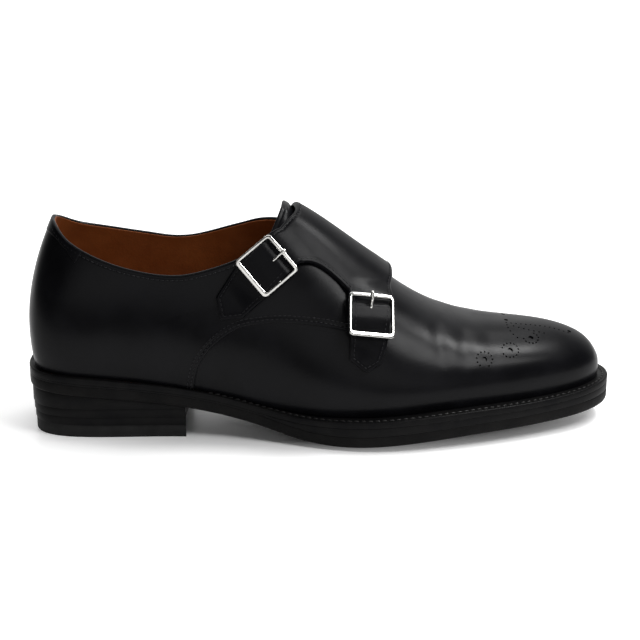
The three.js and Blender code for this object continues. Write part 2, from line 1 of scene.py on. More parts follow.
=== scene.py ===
"""Finished look of a right double monk strap shoe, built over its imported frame.

Sizes are millimetres in the last's own frame: x from the back of the sole to the toe,
y towards the inner side of the foot, z up from the ground. Meshes are made in metres.
"""

import logging
import math
from dataclasses import dataclass, field, replace
from enum import Enum
from typing import Callable, Sequence

import bpy
import numpy as np
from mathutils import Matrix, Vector


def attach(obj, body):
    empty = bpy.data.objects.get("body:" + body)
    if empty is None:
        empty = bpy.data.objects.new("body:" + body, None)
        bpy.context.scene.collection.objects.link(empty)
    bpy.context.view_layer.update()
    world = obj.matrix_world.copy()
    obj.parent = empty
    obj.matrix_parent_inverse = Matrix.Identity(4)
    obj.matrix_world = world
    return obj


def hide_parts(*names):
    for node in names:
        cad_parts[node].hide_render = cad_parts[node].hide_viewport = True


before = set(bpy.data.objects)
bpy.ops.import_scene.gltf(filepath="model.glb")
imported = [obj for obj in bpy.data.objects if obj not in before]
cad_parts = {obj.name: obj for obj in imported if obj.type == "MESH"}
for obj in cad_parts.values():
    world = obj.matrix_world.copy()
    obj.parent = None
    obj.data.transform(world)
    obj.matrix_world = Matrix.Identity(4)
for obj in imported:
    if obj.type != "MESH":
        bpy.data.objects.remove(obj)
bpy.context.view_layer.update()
LOG = logging.getLogger("monk_strap_shoe")

Array = np.ndarray
Offset = Callable[..., Array]
Spots = tuple[tuple[float, float], ...]
MM = 0.001
# Where the bottom centre of the shoe's box lies in the last's own frame, mm.
ORIGIN = np.array([153.109, -2.324, 0.0])


# ---------------------------------------------------------------- curves


def smoothstep(low: float, high: float, x: Array) -> Array:
    """Rises softly from 0 at low to 1 at high."""
    s = np.clip((np.asarray(x, float) - low) / (high - low), 0, 1)
    return s * s * (3 - 2 * s)


def bell(x: Array, middle: float, half: float) -> Array:
    """Soft bump of height 1 round middle, about half wide on each side."""
    return np.exp(-(((np.asarray(x, float) - middle) / half) ** 2))


def through(xs: Sequence[float], ys: Sequence[float], x: Array) -> Array:
    """Smooth curve through the stations (xs, ys), straight beyond the ends.

    Args:
        xs: rising station positions.
        ys: values at the stations.
        x: where to read the curve.

    Returns:
        The curve's values at x.
    """
    px, py, x = np.asarray(xs, float), np.asarray(ys, float), np.asarray(x, float)
    slope = np.empty_like(px)
    slope[1:-1] = (py[2:] - py[:-2]) / (px[2:] - px[:-2])
    slope[0] = (py[1] - py[0]) / (px[1] - px[0])
    slope[-1] = (py[-1] - py[-2]) / (px[-1] - px[-2])
    i = np.clip(np.searchsorted(px, x, side="right") - 1, 0, len(px) - 2)
    h = px[i + 1] - px[i]
    s = (x - px[i]) / h
    mid = (
        (2 * s**3 - 3 * s**2 + 1) * py[i]
        + (s**3 - 2 * s**2 + s) * h * slope[i]
        + (3 * s**2 - 2 * s**3) * py[i + 1]
        + (s**3 - s**2) * h * slope[i + 1]
    )
    low, high = x < px[0], x > px[-1]
    mid = np.where(low, py[0] + slope[0] * (x - px[0]), mid)
    return np.where(high, py[-1] + slope[-1] * (x - px[-1]), mid)


def height_line(values: Sequence[float], length: float, x: Array) -> Array:
    """Uniform cubic B-spline over evenly spaced control values along the length.

    Args:
        values: control values, evenly spaced.
        length: distance from the first to the last of them.
        x: where to read the line.

    Returns:
        The values at x.
    """
    c = np.asarray(values, float)
    c = np.concatenate([[2 * c[0] - c[1]], c, [2 * c[-1] - c[-2]], [3 * c[-1] - 2 * c[-2]]])
    t = np.asarray(x, float) / length * (len(values) - 1)
    i = np.clip(np.floor(t).astype(int), 0, len(values) - 1)
    s = t - i
    w = ((1 - s) ** 3, 3 * s**3 - 6 * s**2 + 4, -3 * s**3 + 3 * s**2 + 3 * s + 1, s**3)
    return sum(w[k] * c[i + k] for k in range(4)) / 6


def spline_weights(n: int, t: Array) -> Array:
    """Weights of a clamped uniform cubic B-spline with n control points.

    Args:
        n: number of control points.
        t: parameters in 0..1, one for each sample.

    Returns:
        An array of one row of n weights for each sample.
    """
    degree, spans = 3, n - 3
    t = np.clip(np.ravel(np.asarray(t, float)), 0, 1 - 1e-9)
    knots = np.concatenate([np.zeros(degree), np.linspace(0, 1, spans + 1), np.ones(degree)])
    w = np.stack([((knots[i] <= t) & (t < knots[i + 1])).astype(float) for i in range(n + degree)], 1)
    for d in range(1, degree + 1):
        raised = np.zeros_like(w)
        for i in range(n + degree - d):
            a, b = knots[i + d] - knots[i], knots[i + d + 1] - knots[i + 1]
            if a > 0:
                raised[:, i] += (t - knots[i]) / a * w[:, i]
            if b > 0:
                raised[:, i] += (knots[i + d + 1] - t) / b * w[:, i + 1]
        w = raised
    return w[:, :n]


def unit(v: Array) -> Array:
    """Vectors scaled to length 1."""
    return v / np.maximum(np.linalg.norm(v, axis=-1, keepdims=True), 1e-12)


# ---------------------------------------------------------------- the last

SECTION_NAMES = (
    "at middle feather_lat feather_med belly_lat belly_med belly_up "
    "shoulder_lat shoulder_med shoulder_up ridge ridge_up nose"
).split()
# One row for each section across the foot: hundredths of length, ball width or instep height.
SECTIONS = (
    (1.0, 0, 0, 0, 0, 0, 19.6, 0, 0, 57, 0, 100, 0),
    (1.0, 0, 14.8, 14.8, 16.7, 16.7, 19.6, 13, 13, 57, 0, 100, 0),
    (3.6, 0, 26, 26, 29.6, 29.6, 19.6, 24, 24, 57, 0, 100, 0),
    (11.1, 0, 29.2, 29.2, 34.7, 34.3, 19.6, 29.6, 29.6, 59, 0, 100, 0),
    (21.6, -0.9, 26.9, 27.3, 33.8, 32.9, 18.8, 29.6, 29.6, 62.5, 0, 100, 0),
    (32.0, -2.8, 25.9, 25, 33.8, 31.5, 17, 28.7, 28.7, 69.6, 0.9, 99, 0),
    (41.2, -4.6, 28.7, 25.5, 37, 33.3, 15.2, 28.7, 25, 74.5, 1.9, 99.5, 0),
    (49.7, -5.6, 36.1, 31, 43, 38.9, 13, 29.6, 25, 66, 3.7, 88.4, 0),
    (58.2, -4.6, 41.7, 39.4, 47.7, 46.3, 12, 31.5, 28.7, 50.4, 4.6, 67.5, 0),
    (66.7, -1.9, 41.7, 43, 46.8, 49, 11.8, 32.4, 32.4, 36.0, 4.2, 44.6, 0),
    (75.2, 0.9, 38.4, 40.3, 42.6, 44.9, 12.2, 31.5, 31.5, 28.0, 2.8, 34.4, 0),
    (83.0, 2.8, 33.3, 33.8, 37, 37.5, 12.6, 26.9, 26.9, 25.2, 1.9, 32.4, 0),
    (90.2, 4.2, 26.4, 26.4, 29.6, 29.2, 12.4, 20.4, 20.4, 22.4, 0.9, 29.9, 0),
    (95.6, 4.6, 18.5, 18.5, 19.9, 19.9, 8.4, 13.9, 13.9, 15.8, 0, 19.2, 1.8),
    (98.3, 4.6, 8.3, 8.3, 8.3, 8.3, 3.7, 8.3, 8.3, 6.4, 0, 8.4, 0),
    (98.3, 4.6, 0, 0, 0, 0, 3.7, 0, 0, 6.4, 0, 8.4, 0),
)
# Share of the nose's lead that belly and shoulder points follow.
BELLY_NOSE, SHOULDER_NOSE = 0.35, 0.7


@dataclass
class Last:
    """The wooden form's surface: u runs from heel to toe, v from the outer feather edge
    over the ridge (0.5) to the inner feather edge."""

    length: float = 306.0
    ball_width: float = 108.0
    instep: float = 112.0
    edge_rise_values: tuple[float, ...] = (
        24.4, 23.2, 21.9, 20.2, 18.0, 15.3, 11.6, 7.2, 2.6, 1.6, 2.6, 4.0, 5.4, 6.4, 6.9, 7.5, 8.6, 10.4)
    stack_values: tuple[float, ...] = (
        10.0, 10.0, 10.0, 9.8, 9.8, 9.8, 9.8, 10.0, 12.4, 13.6, 13.4, 13.2, 13.0, 12.7, 12.4, 12.4, 12.6, 12.8)
    crown_values: tuple[float, ...] = (0, 0, 0, 0, 0, 0, 0.4, 1.4, 2.6, 3.0, 2.9, 2.6, 2.2, 1.9, 1.5, 1.0, 0.5, 0)
    heel_back_up: tuple[float, ...] = (0, 8, 22, 38, 52, 64, 76, 95, 118)
    heel_back_lean: tuple[float, ...] = (0, -2.4, -4.1, -3.9, -1.4, 2.8, 9, 20.5, 36.5)
    heel_fade: float = 75.0
    net: Array = field(init=False)

    def __post_init__(self) -> None:
        """Works out the control net: x, y and height over the seat."""
        rows = []
        for values in SECTIONS:
            s = dict(zip(SECTION_NAMES, values))
            x = s["at"] * self.length / 100
            fade = 1 - smoothstep(0, self.heel_fade, x - SECTIONS[0][0] * self.length / 100)
            spots = (
                (-s["feather_lat"], 0.0, 0.0), (-s["belly_lat"], s["belly_up"], BELLY_NOSE),
                (-s["shoulder_lat"], s["shoulder_up"], SHOULDER_NOSE), (s["ridge"], s["ridge_up"], 1.0),
                (s["shoulder_med"], s["shoulder_up"], SHOULDER_NOSE), (s["belly_med"], s["belly_up"], BELLY_NOSE),
                (s["feather_med"], 0.0, 0.0))
            row = []
            for across, up, share in spots:
                height = up * self.instep / 100
                lean = fade * through(self.heel_back_up, self.heel_back_lean, height)
                row.append((
                    x + lean + share * s["nose"] * self.length / 100,
                    (s["middle"] + across) * self.ball_width / 100, height))
            rows.append(row)
        self.net = np.array(rows, float)

    def edge_rise(self, x: Array) -> Array:
        """Height of the outsole's underside at its edge."""
        return height_line(self.edge_rise_values, self.length, x)

    def stack(self, x: Array) -> Array:
        """Thickness of welt, midsole and outsole together at the edge."""
        return height_line(self.stack_values, self.length, x)

    def crown(self, x: Array) -> Array:
        """How far the middle of the tread hangs under its edge."""
        return height_line(self.crown_values, self.length, x)

    def seat(self, x: Array) -> Array:
        """Height of the welt's top, which the last stands on."""
        return self.edge_rise(x) + self.stack(x)

    def points(self, u: Array, v: Array) -> Array:
        """Points of the surface.

        Args:
            u: positions from heel to toe.
            v: positions from the outer to the inner side, of the same shape.

        Returns:
            An array of points, mm.
        """
        u, v = np.broadcast_arrays(np.asarray(u, float), np.asarray(v, float))
        wu, wv = spline_weights(len(self.net), u), spline_weights(self.net.shape[1], v)
        flat = np.einsum("ni,nj,ijk->nk", wu, wv, self.net, optimize=True)
        flat[:, 2] += self.seat(flat[:, 0])
        return flat.reshape(u.shape + (3,))

    def normals(self, u: Array, v: Array) -> Array:
        """Outward unit normals of the surface at (u, v).

        Args:
            u: positions from heel to toe.
            v: positions across, of the same shape.

        Returns:
            An array of unit vectors.
        """
        d = 1e-3
        u, v = np.clip(u, d, 1 - d), np.clip(v, d, 1 - d)
        du = self.points(u + d, v) - self.points(u - d, v)
        dv = self.points(u, v + d) - self.points(u, v - d)
        return unit(np.cross(du, dv))

    def lifted(self, u: Array, v: Array, off: Array) -> Array:
        """Points at a distance off above the surface."""
        return self.points(u, v) + self.normals(u, v) * np.asarray(off, float)[..., None]

    def edge(self, u: Array, side: int, out: Offset | float) -> Array:
        """Points of the feather edge moved outwards in plan.

        Args:
            u: positions from heel to toe.
            side: -1 for the outer side, 1 for the inner side.
            out: distance outwards, mm, or a function of x that gives it.

        Returns:
            An array of (x, y) points.
        """
        u = np.asarray(u, float)
        v = np.full_like(u, 0.0 if side < 0 else 1.0)
        p = self.points(u, v)
        t = self.points(np.clip(u + 1e-3, 0, 1), v) - self.points(np.clip(u - 1e-3, 0, 1), v)
        t = unit(t[..., :2])
        shift = out(p[..., 0]) if callable(out) else np.full(u.shape, float(out))
        n = np.stack([-t[..., 1], t[..., 0]], -1) * side
        n[u <= 0] = (-1, 0)
        n[u >= 1] = (1, 0)
        return p[..., :2] + n * shift[..., None]


LAST = Last()


# ---------------------------------------------------------------- meshes


@dataclass
class MeshDraft:
    """Collects grids of points and turns them into one mesh."""

    points: list[Array] = field(default_factory=list)
    faces: list[Array] = field(default_factory=list)
    count: int = 0

    def add_points(self, pts: Array) -> Array:
        """Stores a block of points and returns their numbers in the same layout.

        Args:
            pts: array of points, mm.

        Returns:
            The numbers of the points, in the same layout.
        """
        flat = pts.reshape(-1, 3)
        numbers = np.arange(self.count, self.count + len(flat)).reshape(pts.shape[:-1])
        self.points.append(flat)
        self.count += len(flat)
        return numbers

    def add_quads(self, numbers: Array, flip: bool = False) -> None:
        """Covers a grid of point numbers with quads.

        Args:
            numbers: grid of point numbers.
            flip: whether the quads face the other way.
        """
        a, b, c, d = numbers[:-1, :-1], numbers[1:, :-1], numbers[1:, 1:], numbers[:-1, 1:]
        quads = np.stack([a, d, c, b] if flip else [a, b, c, d], -1).reshape(-1, 4)
        self.faces.append(quads)

    def band(self, pts: Array) -> Array:
        """Stores a grid whose first and last columns join up, and covers it.

        Args:
            pts: grid of points, mm.

        Returns:
            The numbers of the points.
        """
        numbers = self.add_points(pts)
        self.add_quads(np.concatenate([numbers, numbers[:, :1]], 1))
        return numbers

    def slab(self, top: Array, under: Array) -> None:
        """Closed body between two grids of points that share their outline.

        Args:
            top: grid of the upper face.
            under: grid of the lower face, of the same shape.
        """
        a, b = self.add_points(top), self.add_points(under)
        self.add_quads(a)
        self.add_quads(b, flip=True)
        self.add_quads(np.stack([b[0], a[0]]))
        self.add_quads(np.stack([a[-1], b[-1]]))
        self.add_quads(np.stack([a[:, 0], b[:, 0]]))
        self.add_quads(np.stack([b[:, -1], a[:, -1]]))

    def ring(self, pts: Array) -> None:
        """Closed tube-like body: both directions of the grid of points join up.

        Args:
            pts: grid of points, one row for each section.
        """
        a = self.add_points(pts)
        a = np.concatenate([a, a[:1]])
        a = np.concatenate([a, a[:, :1]], 1)
        self.add_quads(a)

    def build(self, name: str, sharp: float = 40.0, weld: float = 1e-6) -> bpy.types.Object:
        """Makes the Blender object.

        Args:
            name: name of the piece.
            sharp: edges that turn more than this many degrees stay crisp.
            weld: points closer than this, in metres, become one.

        Returns:
            The new object, linked to the scene.
        """
        co = (np.concatenate(self.points) - ORIGIN) * MM
        keys = np.round(co / weld).astype(np.int64)
        _, first, inverse = np.unique(keys, axis=0, return_index=True, return_inverse=True)
        quads = inverse.reshape(-1)[np.concatenate(self.faces)]
        faces = []
        for quad in quads.tolist():
            ring = [p for i, p in enumerate(quad) if p != quad[i - 1]]
            if len(set(ring)) >= 3:
                faces.append(ring)
        mesh = bpy.data.meshes.new(name)
        mesh.from_pydata(co[first].tolist(), [], faces)
        mesh.validate()
        mesh.polygons.foreach_set("use_smooth", [True] * len(mesh.polygons))
        mesh.set_sharp_from_angle(angle=math.radians(sharp))
        turn_outwards(mesh)
        obj = bpy.data.objects.new(name, mesh)
        bpy.context.scene.collection.objects.link(obj)
        return obj


def turn_outwards(mesh: bpy.types.Mesh) -> None:
    """Flips a closed mesh whose faces point inwards.

    Args:
        mesh: the closed mesh to check.
    """
    mesh.calc_loop_triangles()
    co = np.empty(len(mesh.vertices) * 3)
    mesh.vertices.foreach_get("co", co)
    tri = np.empty(len(mesh.loop_triangles) * 3, np.int32)
    mesh.loop_triangles.foreach_get("vertices", tri)
    a, b, c = co.reshape(-1, 3)[tri.reshape(-1, 3)].transpose(1, 0, 2)
    if np.einsum("ij,ij->i", a, np.cross(b, c)).sum() < 0:
        mesh.flip_normals()


def seat_piece(obj: bpy.types.Object, finish: "Finish", replaces: Sequence[str] = ()) -> bpy.types.Object:
    """Dresses a piece, fastens it to the shoe's one body and reports it.

    Args:
        obj: the finished mesh object.
        finish: the finish that covers it.
        replaces: CAD nodes that it stands for.

    Returns:
        The same object.
    """
    obj.data.materials.clear()
    obj.data.materials.append(finish.material())
    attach(obj, "root")
    if replaces:
        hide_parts(*replaces)
    LOG.info("%s: %d faces", obj.name, len(obj.data.polygons))
    return obj


def seat_sheet(name: str, top: Array, under: Array, finish: "Finish", replaces: Sequence[str] = ()) -> None:
    """Makes a closed sheet between two grids of points and seats it.

    Args:
        name: name of the piece.
        top: grid of the upper face.
        under: grid of the lower face.
        finish: its finish.
        replaces: CAD nodes that it stands for.
    """
    draft = MeshDraft()
    draft.slab(top, under)
    seat_piece(draft.build(name), finish, replaces)


# ---------------------------------------------------------------- panels on the last

Line = Callable[[Array], Array]
# Step between the points that stand for a cut edge, mm.
BORDER_GAP = 0.35


def uv_line(points: Sequence[tuple[float, float]]) -> Line:
    """Smooth line through (u, v) points, read with a parameter in 0..1.

    Args:
        points: the (u, v) points.

    Returns:
        The line as a function of the parameter.
    """
    at = np.linspace(0, 1, len(points))
    us, vs = [p[0] for p in points], [p[1] for p in points]
    return lambda t: np.stack([through(at, us, t), through(at, vs, t)], -1)


def straight(p: Array, q: Array) -> Line:
    """Straight line between two (u, v) points."""
    return lambda t: p + (q - p) * np.asarray(t, float)[..., None]


def coons(first: Line, last: Line, left: Line, right: Line, s: Array, t: Array) -> Array:
    """Blends four boundary lines into a grid of (u, v) points.

    Args:
        first: boundary along s at t = 0.
        last: boundary along s at t = 1.
        left: boundary along t at s = 0.
        right: boundary along t at s = 1.
        s: parameters along first and last.
        t: parameters along left and right.

    Returns:
        A grid with one row for each t.
    """
    ss, tt = s[None, :, None], t[:, None, None]
    ruled = (1 - tt) * first(s)[None] + tt * last(s)[None] + (1 - ss) * left(t)[:, None] + ss * right(t)[:, None]
    c00, c10 = first(np.array([0.0]))[0], first(np.array([1.0]))[0]
    c01, c11 = last(np.array([0.0]))[0], last(np.array([1.0]))[0]
    flat = (1 - tt) * ((1 - ss) * c00 + ss * c10) + tt * ((1 - ss) * c01 + ss * c11)
    return ruled - flat


def graded(width: float, cell: float, low: bool = True, high: bool = True) -> Array:
    """Parameters in 0..1 with cells of about one size and extra fine ones at chosen ends.

    Args:
        width: real length of the span, mm.
        cell: usual cell size, mm.
        low: whether the start gets the fine cells of a turned edge and a stitch row.
        high: whether the end gets them.

    Returns:
        Rising parameters.
    """
    fine = np.array([0.0, 0.1, 0.25, 0.45, 0.7, 1.0, 1.35, 1.7, 2.0, 2.3, 2.65, 3.1]) / width
    fine = fine[fine < 0.45]
    start = fine if low else np.array([0.0])
    end = 1 - fine[::-1] if high else np.array([1.0])
    inner = np.linspace(start[-1], end[0], max(3, int(round((end[0] - start[-1]) * width / cell)) + 1))
    return np.concatenate([start, inner[1:-1], end])


def run_along(points: Array) -> Array:
    """Distance along a polyline at each of its points."""
    return np.concatenate([[0], np.cumsum(np.linalg.norm(np.diff(points, axis=0), axis=1))])


def read_at(at: Array, run: Array, points: Array) -> Array:
    """Points of a polyline at chosen distances along it."""
    return np.stack([np.interp(at, run, points[:, k]) for k in range(points.shape[1])], 1)


def flipped(uv: Array) -> Array:
    """The same (u, v) points on the other side of the foot."""
    return np.stack([uv[:, 0], 1 - uv[:, 1]], -1)


def nearest(points: Array, border: Array, chunk: int = 4000) -> Array:
    """Distance from each point to the closest of the border's points.

    Args:
        points: points to measure from.
        border: points to measure to.
        chunk: how many points are measured at once.

    Returns:
        The distances, in the layout of points.
    """
    flat, out = points.reshape(-1, 3), []
    for i in range(0, len(flat), chunk):
        d = flat[i : i + chunk, None, :] - border[None]
        out.append(np.sqrt((d * d).sum(-1).min(1)))
    return np.concatenate(out).reshape(points.shape[:-1])


def densify(points: Array, gap: float) -> Array:
    """Adds points along a polyline so that neighbours are at most gap apart.

    Args:
        points: the polyline.
        gap: longest step, mm.

    Returns:
        The refined polyline.
    """
    out = [points[:1]]
    for a, b in zip(points[:-1], points[1:]):
        n = max(1, int(np.ceil(np.linalg.norm(b - a) / gap)))
        out.append(a + (b - a) * (np.arange(1, n + 1) / n)[:, None])
    return np.concatenate(out)


def turned_edge(d: Array, radius: float) -> Array:
    """Share of the full thickness at a distance d inside a rounded edge."""
    q = np.clip(d / radius, 0, 1)
    return 0.3 + 0.7 * np.sqrt(1 - (1 - q) ** 2)


@dataclass
class Panel:
    """A sheet of leather over a grid of (u, v) points on the last."""

    cells: Array
    under: Offset
    over: Offset
    edge_radius: float = 0.8
    stitch_in: float = 0.0
    groove: float = 0.22
    open_sides: str = ""

    def border(self) -> Array:
        """Points along the sides that are real cut or turned edges.

        Returns:
            An array of points.
        """
        u, v = self.cells[..., 0], self.cells[..., 1]
        g = LAST.lifted(u, v, self.over(u, v))
        sides = {"f": g[0], "b": g[-1], "l": g[:, 0], "r": g[:, -1]}
        kept = [line for key, line in sides.items() if key not in self.open_sides]
        return np.concatenate([densify(line, BORDER_GAP) for line in kept])

    def surfaces(self, border: Array | None = None) -> tuple[Array, Array]:
        """Upper and lower grids of points, with rounded edges and a stitch groove.

        Args:
            border: points of the edges, or None for the panel's own.

        Returns:
            The upper and the lower grid.
        """
        u, v = self.cells[..., 0], self.cells[..., 1]
        normal, base = LAST.normals(u, v), LAST.points(u, v)
        low, high = self.under(u, v), self.over(u, v)
        d = nearest(base + normal * high[..., None], self.border() if border is None else border)
        height = low + (high - low) * turned_edge(d, self.edge_radius)
        if self.stitch_in:
            height -= self.groove * bell(d, self.stitch_in, 0.45)
        return base + normal * height[..., None], base + normal * low[..., None]


@dataclass
class StitchRow:
    """A row of short thread stitches along a line on the surface."""

    length: float = 2.3
    gap: float = 0.75
    radius: float = 0.28
    sink: float = 0.10

    def add_to(self, draft: MeshDraft, path: Array, normals: Array) -> None:
        """Lays stitches along a path.

        Args:
            draft: mesh that collects them.
            path: points of the line on the leather's surface, mm.
            normals: surface normals at those points.
        """
        run = run_along(path)
        count = int(run[-1] // (self.length + self.gap))
        if count < 1:
            return
        mid = (np.arange(count) + 0.5) * run[-1] / count
        spot, up = read_at(mid, run, path), unit(read_at(mid, run, normals))
        ahead = read_at(mid + 0.5, run, path) - read_at(mid - 0.5, run, path)
        ahead = unit(ahead - up * (ahead * up).sum(1)[:, None])
        side = np.cross(up, ahead)
        along = np.array([-1.0, -0.86, -0.4, 0.4, 0.86, 1.0])
        thick = np.array([0.0, 0.75, 1.0, 1.0, 0.75, 0.0])
        dip = np.array([-0.9, -0.35, 0.0, 0.0, -0.35, -0.9])
        angle = np.arange(7) / 6 * 2 * math.pi
        for p, n, a, s in zip(spot, up, ahead, side):
            middle = p + n * (self.radius - self.sink * 2)
            rings = (
                middle[None, None]
                + a * (along * self.length / 2)[:, None, None]
                + n * (dip * self.radius)[:, None, None]
                + (np.cos(angle)[None, :, None] * s + np.sin(angle)[None, :, None] * n)
                * (thick * self.radius)[:, None, None]
            )
            draft.add_quads(draft.add_points(rings))


def on_surface(uv: Array, off: Array | float) -> tuple[Array, Array]:
    """Points above the last and their normals along a line of (u, v) points.

    Args:
        uv: the (u, v) points.
        off: height over the last, mm.

    Returns:
        The points and the unit normals.
    """
    u, v = uv[..., 0], uv[..., 1]
    n = LAST.normals(u, v)
    return LAST.points(u, v) + n * (np.zeros_like(u) + off)[..., None], n


# ---------------------------------------------------------------- finishes


class Slot(Enum):
    """Material slots of the record."""

    CALF = "calf"
    LINING = "lining"
    SOLE = "sole_leather"
    TOP_PIECE = "top_piece"
    NICKEL = "nickel"


class Nodes:
    """Small helper that places and joins shader nodes in one tree."""

    def __init__(self, tree: bpy.types.NodeTree) -> None:
        """Keeps the tree to build in."""
        self.tree = tree

    def add(self, kind: str, label: str = "", **values: object) -> bpy.types.Node:
        """Adds a node and sets its properties, then its inputs by name.

        Args:
            kind: type of the node.
            label: plain name shown on it.
            values: properties, or inputs with _ for a space.

        Returns:
            The new node.
        """
        node = self.tree.nodes.new(kind)
        node.label = label
        for key, value in values.items():
            if hasattr(node, key) and key != "Scale":
                setattr(node, key, value)
            else:
                node.inputs[key.replace("_", " ")].default_value = value
        return node

    def join(self, source: bpy.types.NodeSocket, target: bpy.types.NodeSocket) -> None:
        """Links an output to an input."""
        self.tree.links.new(source, target)

    def maths(self, operation: str, a: object, b: object = 0.5) -> bpy.types.NodeSocket:
        """Adds a Math node on two sockets or numbers and returns its output.

        Args:
            operation: name of the operation.
            a: first socket or number.
            b: second socket or number.

        Returns:
            The output socket.
        """
        node = self.tree.nodes.new("ShaderNodeMath")
        node.operation = operation
        for socket, value in zip(node.inputs, (a, b)):
            if isinstance(value, bpy.types.NodeSocket):
                self.join(value, socket)
            else:
                socket.default_value = value
        return node.outputs[0]

    def blend(self, share: object, low: object, high: object) -> bpy.types.NodeSocket:
        """Mixes two colours by a share and returns the colour output.

        Args:
            share: socket or number from 0 to 1.
            low: colour at 0.
            high: colour at 1.

        Returns:
            The colour output.
        """
        node = self.tree.nodes.new("ShaderNodeMix")
        node.data_type = "RGBA"
        for index, value in ((0, share), (6, low), (7, high)):
            if isinstance(value, bpy.types.NodeSocket):
                self.join(value, node.inputs[index])
            else:
                node.inputs[index].default_value = value
        return node.outputs[2]

    def spread(self, value: bpy.types.NodeSocket, low: float, high: float, to_low: float = 0.0,
               to_high: float = 1.0) -> bpy.types.NodeSocket:
        """Stretches a value from one range to another, clamped.

        Args:
            value: socket to stretch.
            low: value that gives to_low.
            high: value that gives to_high.
            to_low: result at low.
            to_high: result at high.

        Returns:
            The output socket.
        """
        node = self.tree.nodes.new("ShaderNodeMapRange")
        self.join(value, node.inputs[0])
        for socket, number in zip(node.inputs[1:5], (low, high, to_low, to_high)):
            socket.default_value = number
        return node.outputs[0]


def new_group(name: str, inputs: Sequence[tuple[str, float]], outputs: Sequence[tuple[str, str]]) -> tuple[
        bpy.types.NodeTree, Nodes, bpy.types.Node, bpy.types.Node]:
    """Starts a shader node group.

    Args:
        name: name of the group.
        inputs: name and usual value of each number that it takes.
        outputs: name and socket type of each result.

    Returns:
        The tree, its helper, and its input and output nodes.
    """
    tree = bpy.data.node_groups.new(name, "ShaderNodeTree")
    for label, value in inputs:
        socket = tree.interface.new_socket(label, in_out="INPUT", socket_type="NodeSocketFloat")
        socket.default_value = value
    for label, kind in outputs:
        tree.interface.new_socket(label, in_out="OUTPUT", socket_type=kind)
    n = Nodes(tree)
    return tree, n, n.add("NodeGroupInput"), n.add("NodeGroupOutput")


def leather_surface() -> bpy.types.NodeTree:
    """Group: pores, long soft waves and rubbed patches of finished leather.

    Returns:
        The group, built once.
    """
    found = bpy.data.node_groups.get("Leather surface")
    if found:
        return found
    tree, n, given, result = new_group(
        "Leather surface",
        [("Pore size", 0.0011), ("Pore depth", 0.3), ("Wave size", 0.02), ("Wave depth", 1.0)],
        [("Height", "NodeSocketFloat"), ("Rubbed", "NodeSocketFloat"), ("Tone", "NodeSocketFloat")])
    place = n.add("ShaderNodeTexCoord").outputs["Object"]
    pores = n.add("ShaderNodeTexVoronoi", "pores", feature="SMOOTH_F1")
    n.join(place, pores.inputs["Vector"])
    n.join(n.maths("DIVIDE", 1.0, given.outputs["Pore size"]), pores.inputs["Scale"])
    fine = n.add("ShaderNodeTexNoise", "fine grain", Detail=4.0)
    n.join(place, fine.inputs["Vector"])
    n.join(n.maths("DIVIDE", 0.6, given.outputs["Pore size"]), fine.inputs["Scale"])
    waves = n.add("ShaderNodeTexNoise", "waves", Detail=2.0, Roughness=0.4)
    n.join(place, waves.inputs["Vector"])
    n.join(n.maths("DIVIDE", 1.0, given.outputs["Wave size"]), waves.inputs["Scale"])
    grain = n.maths("MULTIPLY", n.maths("ADD", pores.outputs["Distance"], fine.outputs["Fac"]),
                    given.outputs["Pore depth"])
    height = n.maths("ADD", grain, n.maths("MULTIPLY", waves.outputs["Fac"], given.outputs["Wave depth"]))
    n.join(height, result.inputs["Height"])
    patches = n.add("ShaderNodeTexNoise", "rubbed patches", Scale=55.0, Detail=5.0, Roughness=0.62)
    n.join(place, patches.inputs["Vector"])
    n.join(n.spread(patches.outputs["Fac"], 0.42, 0.68), result.inputs["Rubbed"])
    n.join(n.spread(waves.outputs["Fac"], 0.3, 0.7), result.inputs["Tone"])
    return tree


def fine_scratches() -> bpy.types.NodeTree:
    """Group: faint long scratches for rubbed edges and metal.

    Returns:
        The group, built once.
    """
    found = bpy.data.node_groups.get("Fine scratches")
    if found:
        return found
    tree, n, given, result = new_group(
        "Fine scratches", [("Density", 300.0), ("Stretch", 12.0)],
        [("Mask", "NodeSocketFloat"), ("Height", "NodeSocketFloat")])
    place = n.add("ShaderNodeTexCoord").outputs["Object"]
    stretch = n.add("ShaderNodeVectorMath", "stretch", operation="MULTIPLY")
    n.join(place, stretch.inputs[0])
    scale = n.add("ShaderNodeCombineXYZ", X=1.0)
    n.join(given.outputs["Stretch"], scale.inputs["Y"])
    n.join(given.outputs["Stretch"], scale.inputs["Z"])
    n.join(scale.outputs[0], stretch.inputs[1])
    lines = n.add("ShaderNodeTexNoise", "lines", Detail=3.0, Roughness=0.7)
    n.join(stretch.outputs[0], lines.inputs["Vector"])
    n.join(given.outputs["Density"], lines.inputs["Scale"])
    n.join(n.spread(lines.outputs["Fac"], 0.5, 0.72), result.inputs["Mask"])
    n.join(lines.outputs["Fac"], result.inputs["Height"])
    return tree


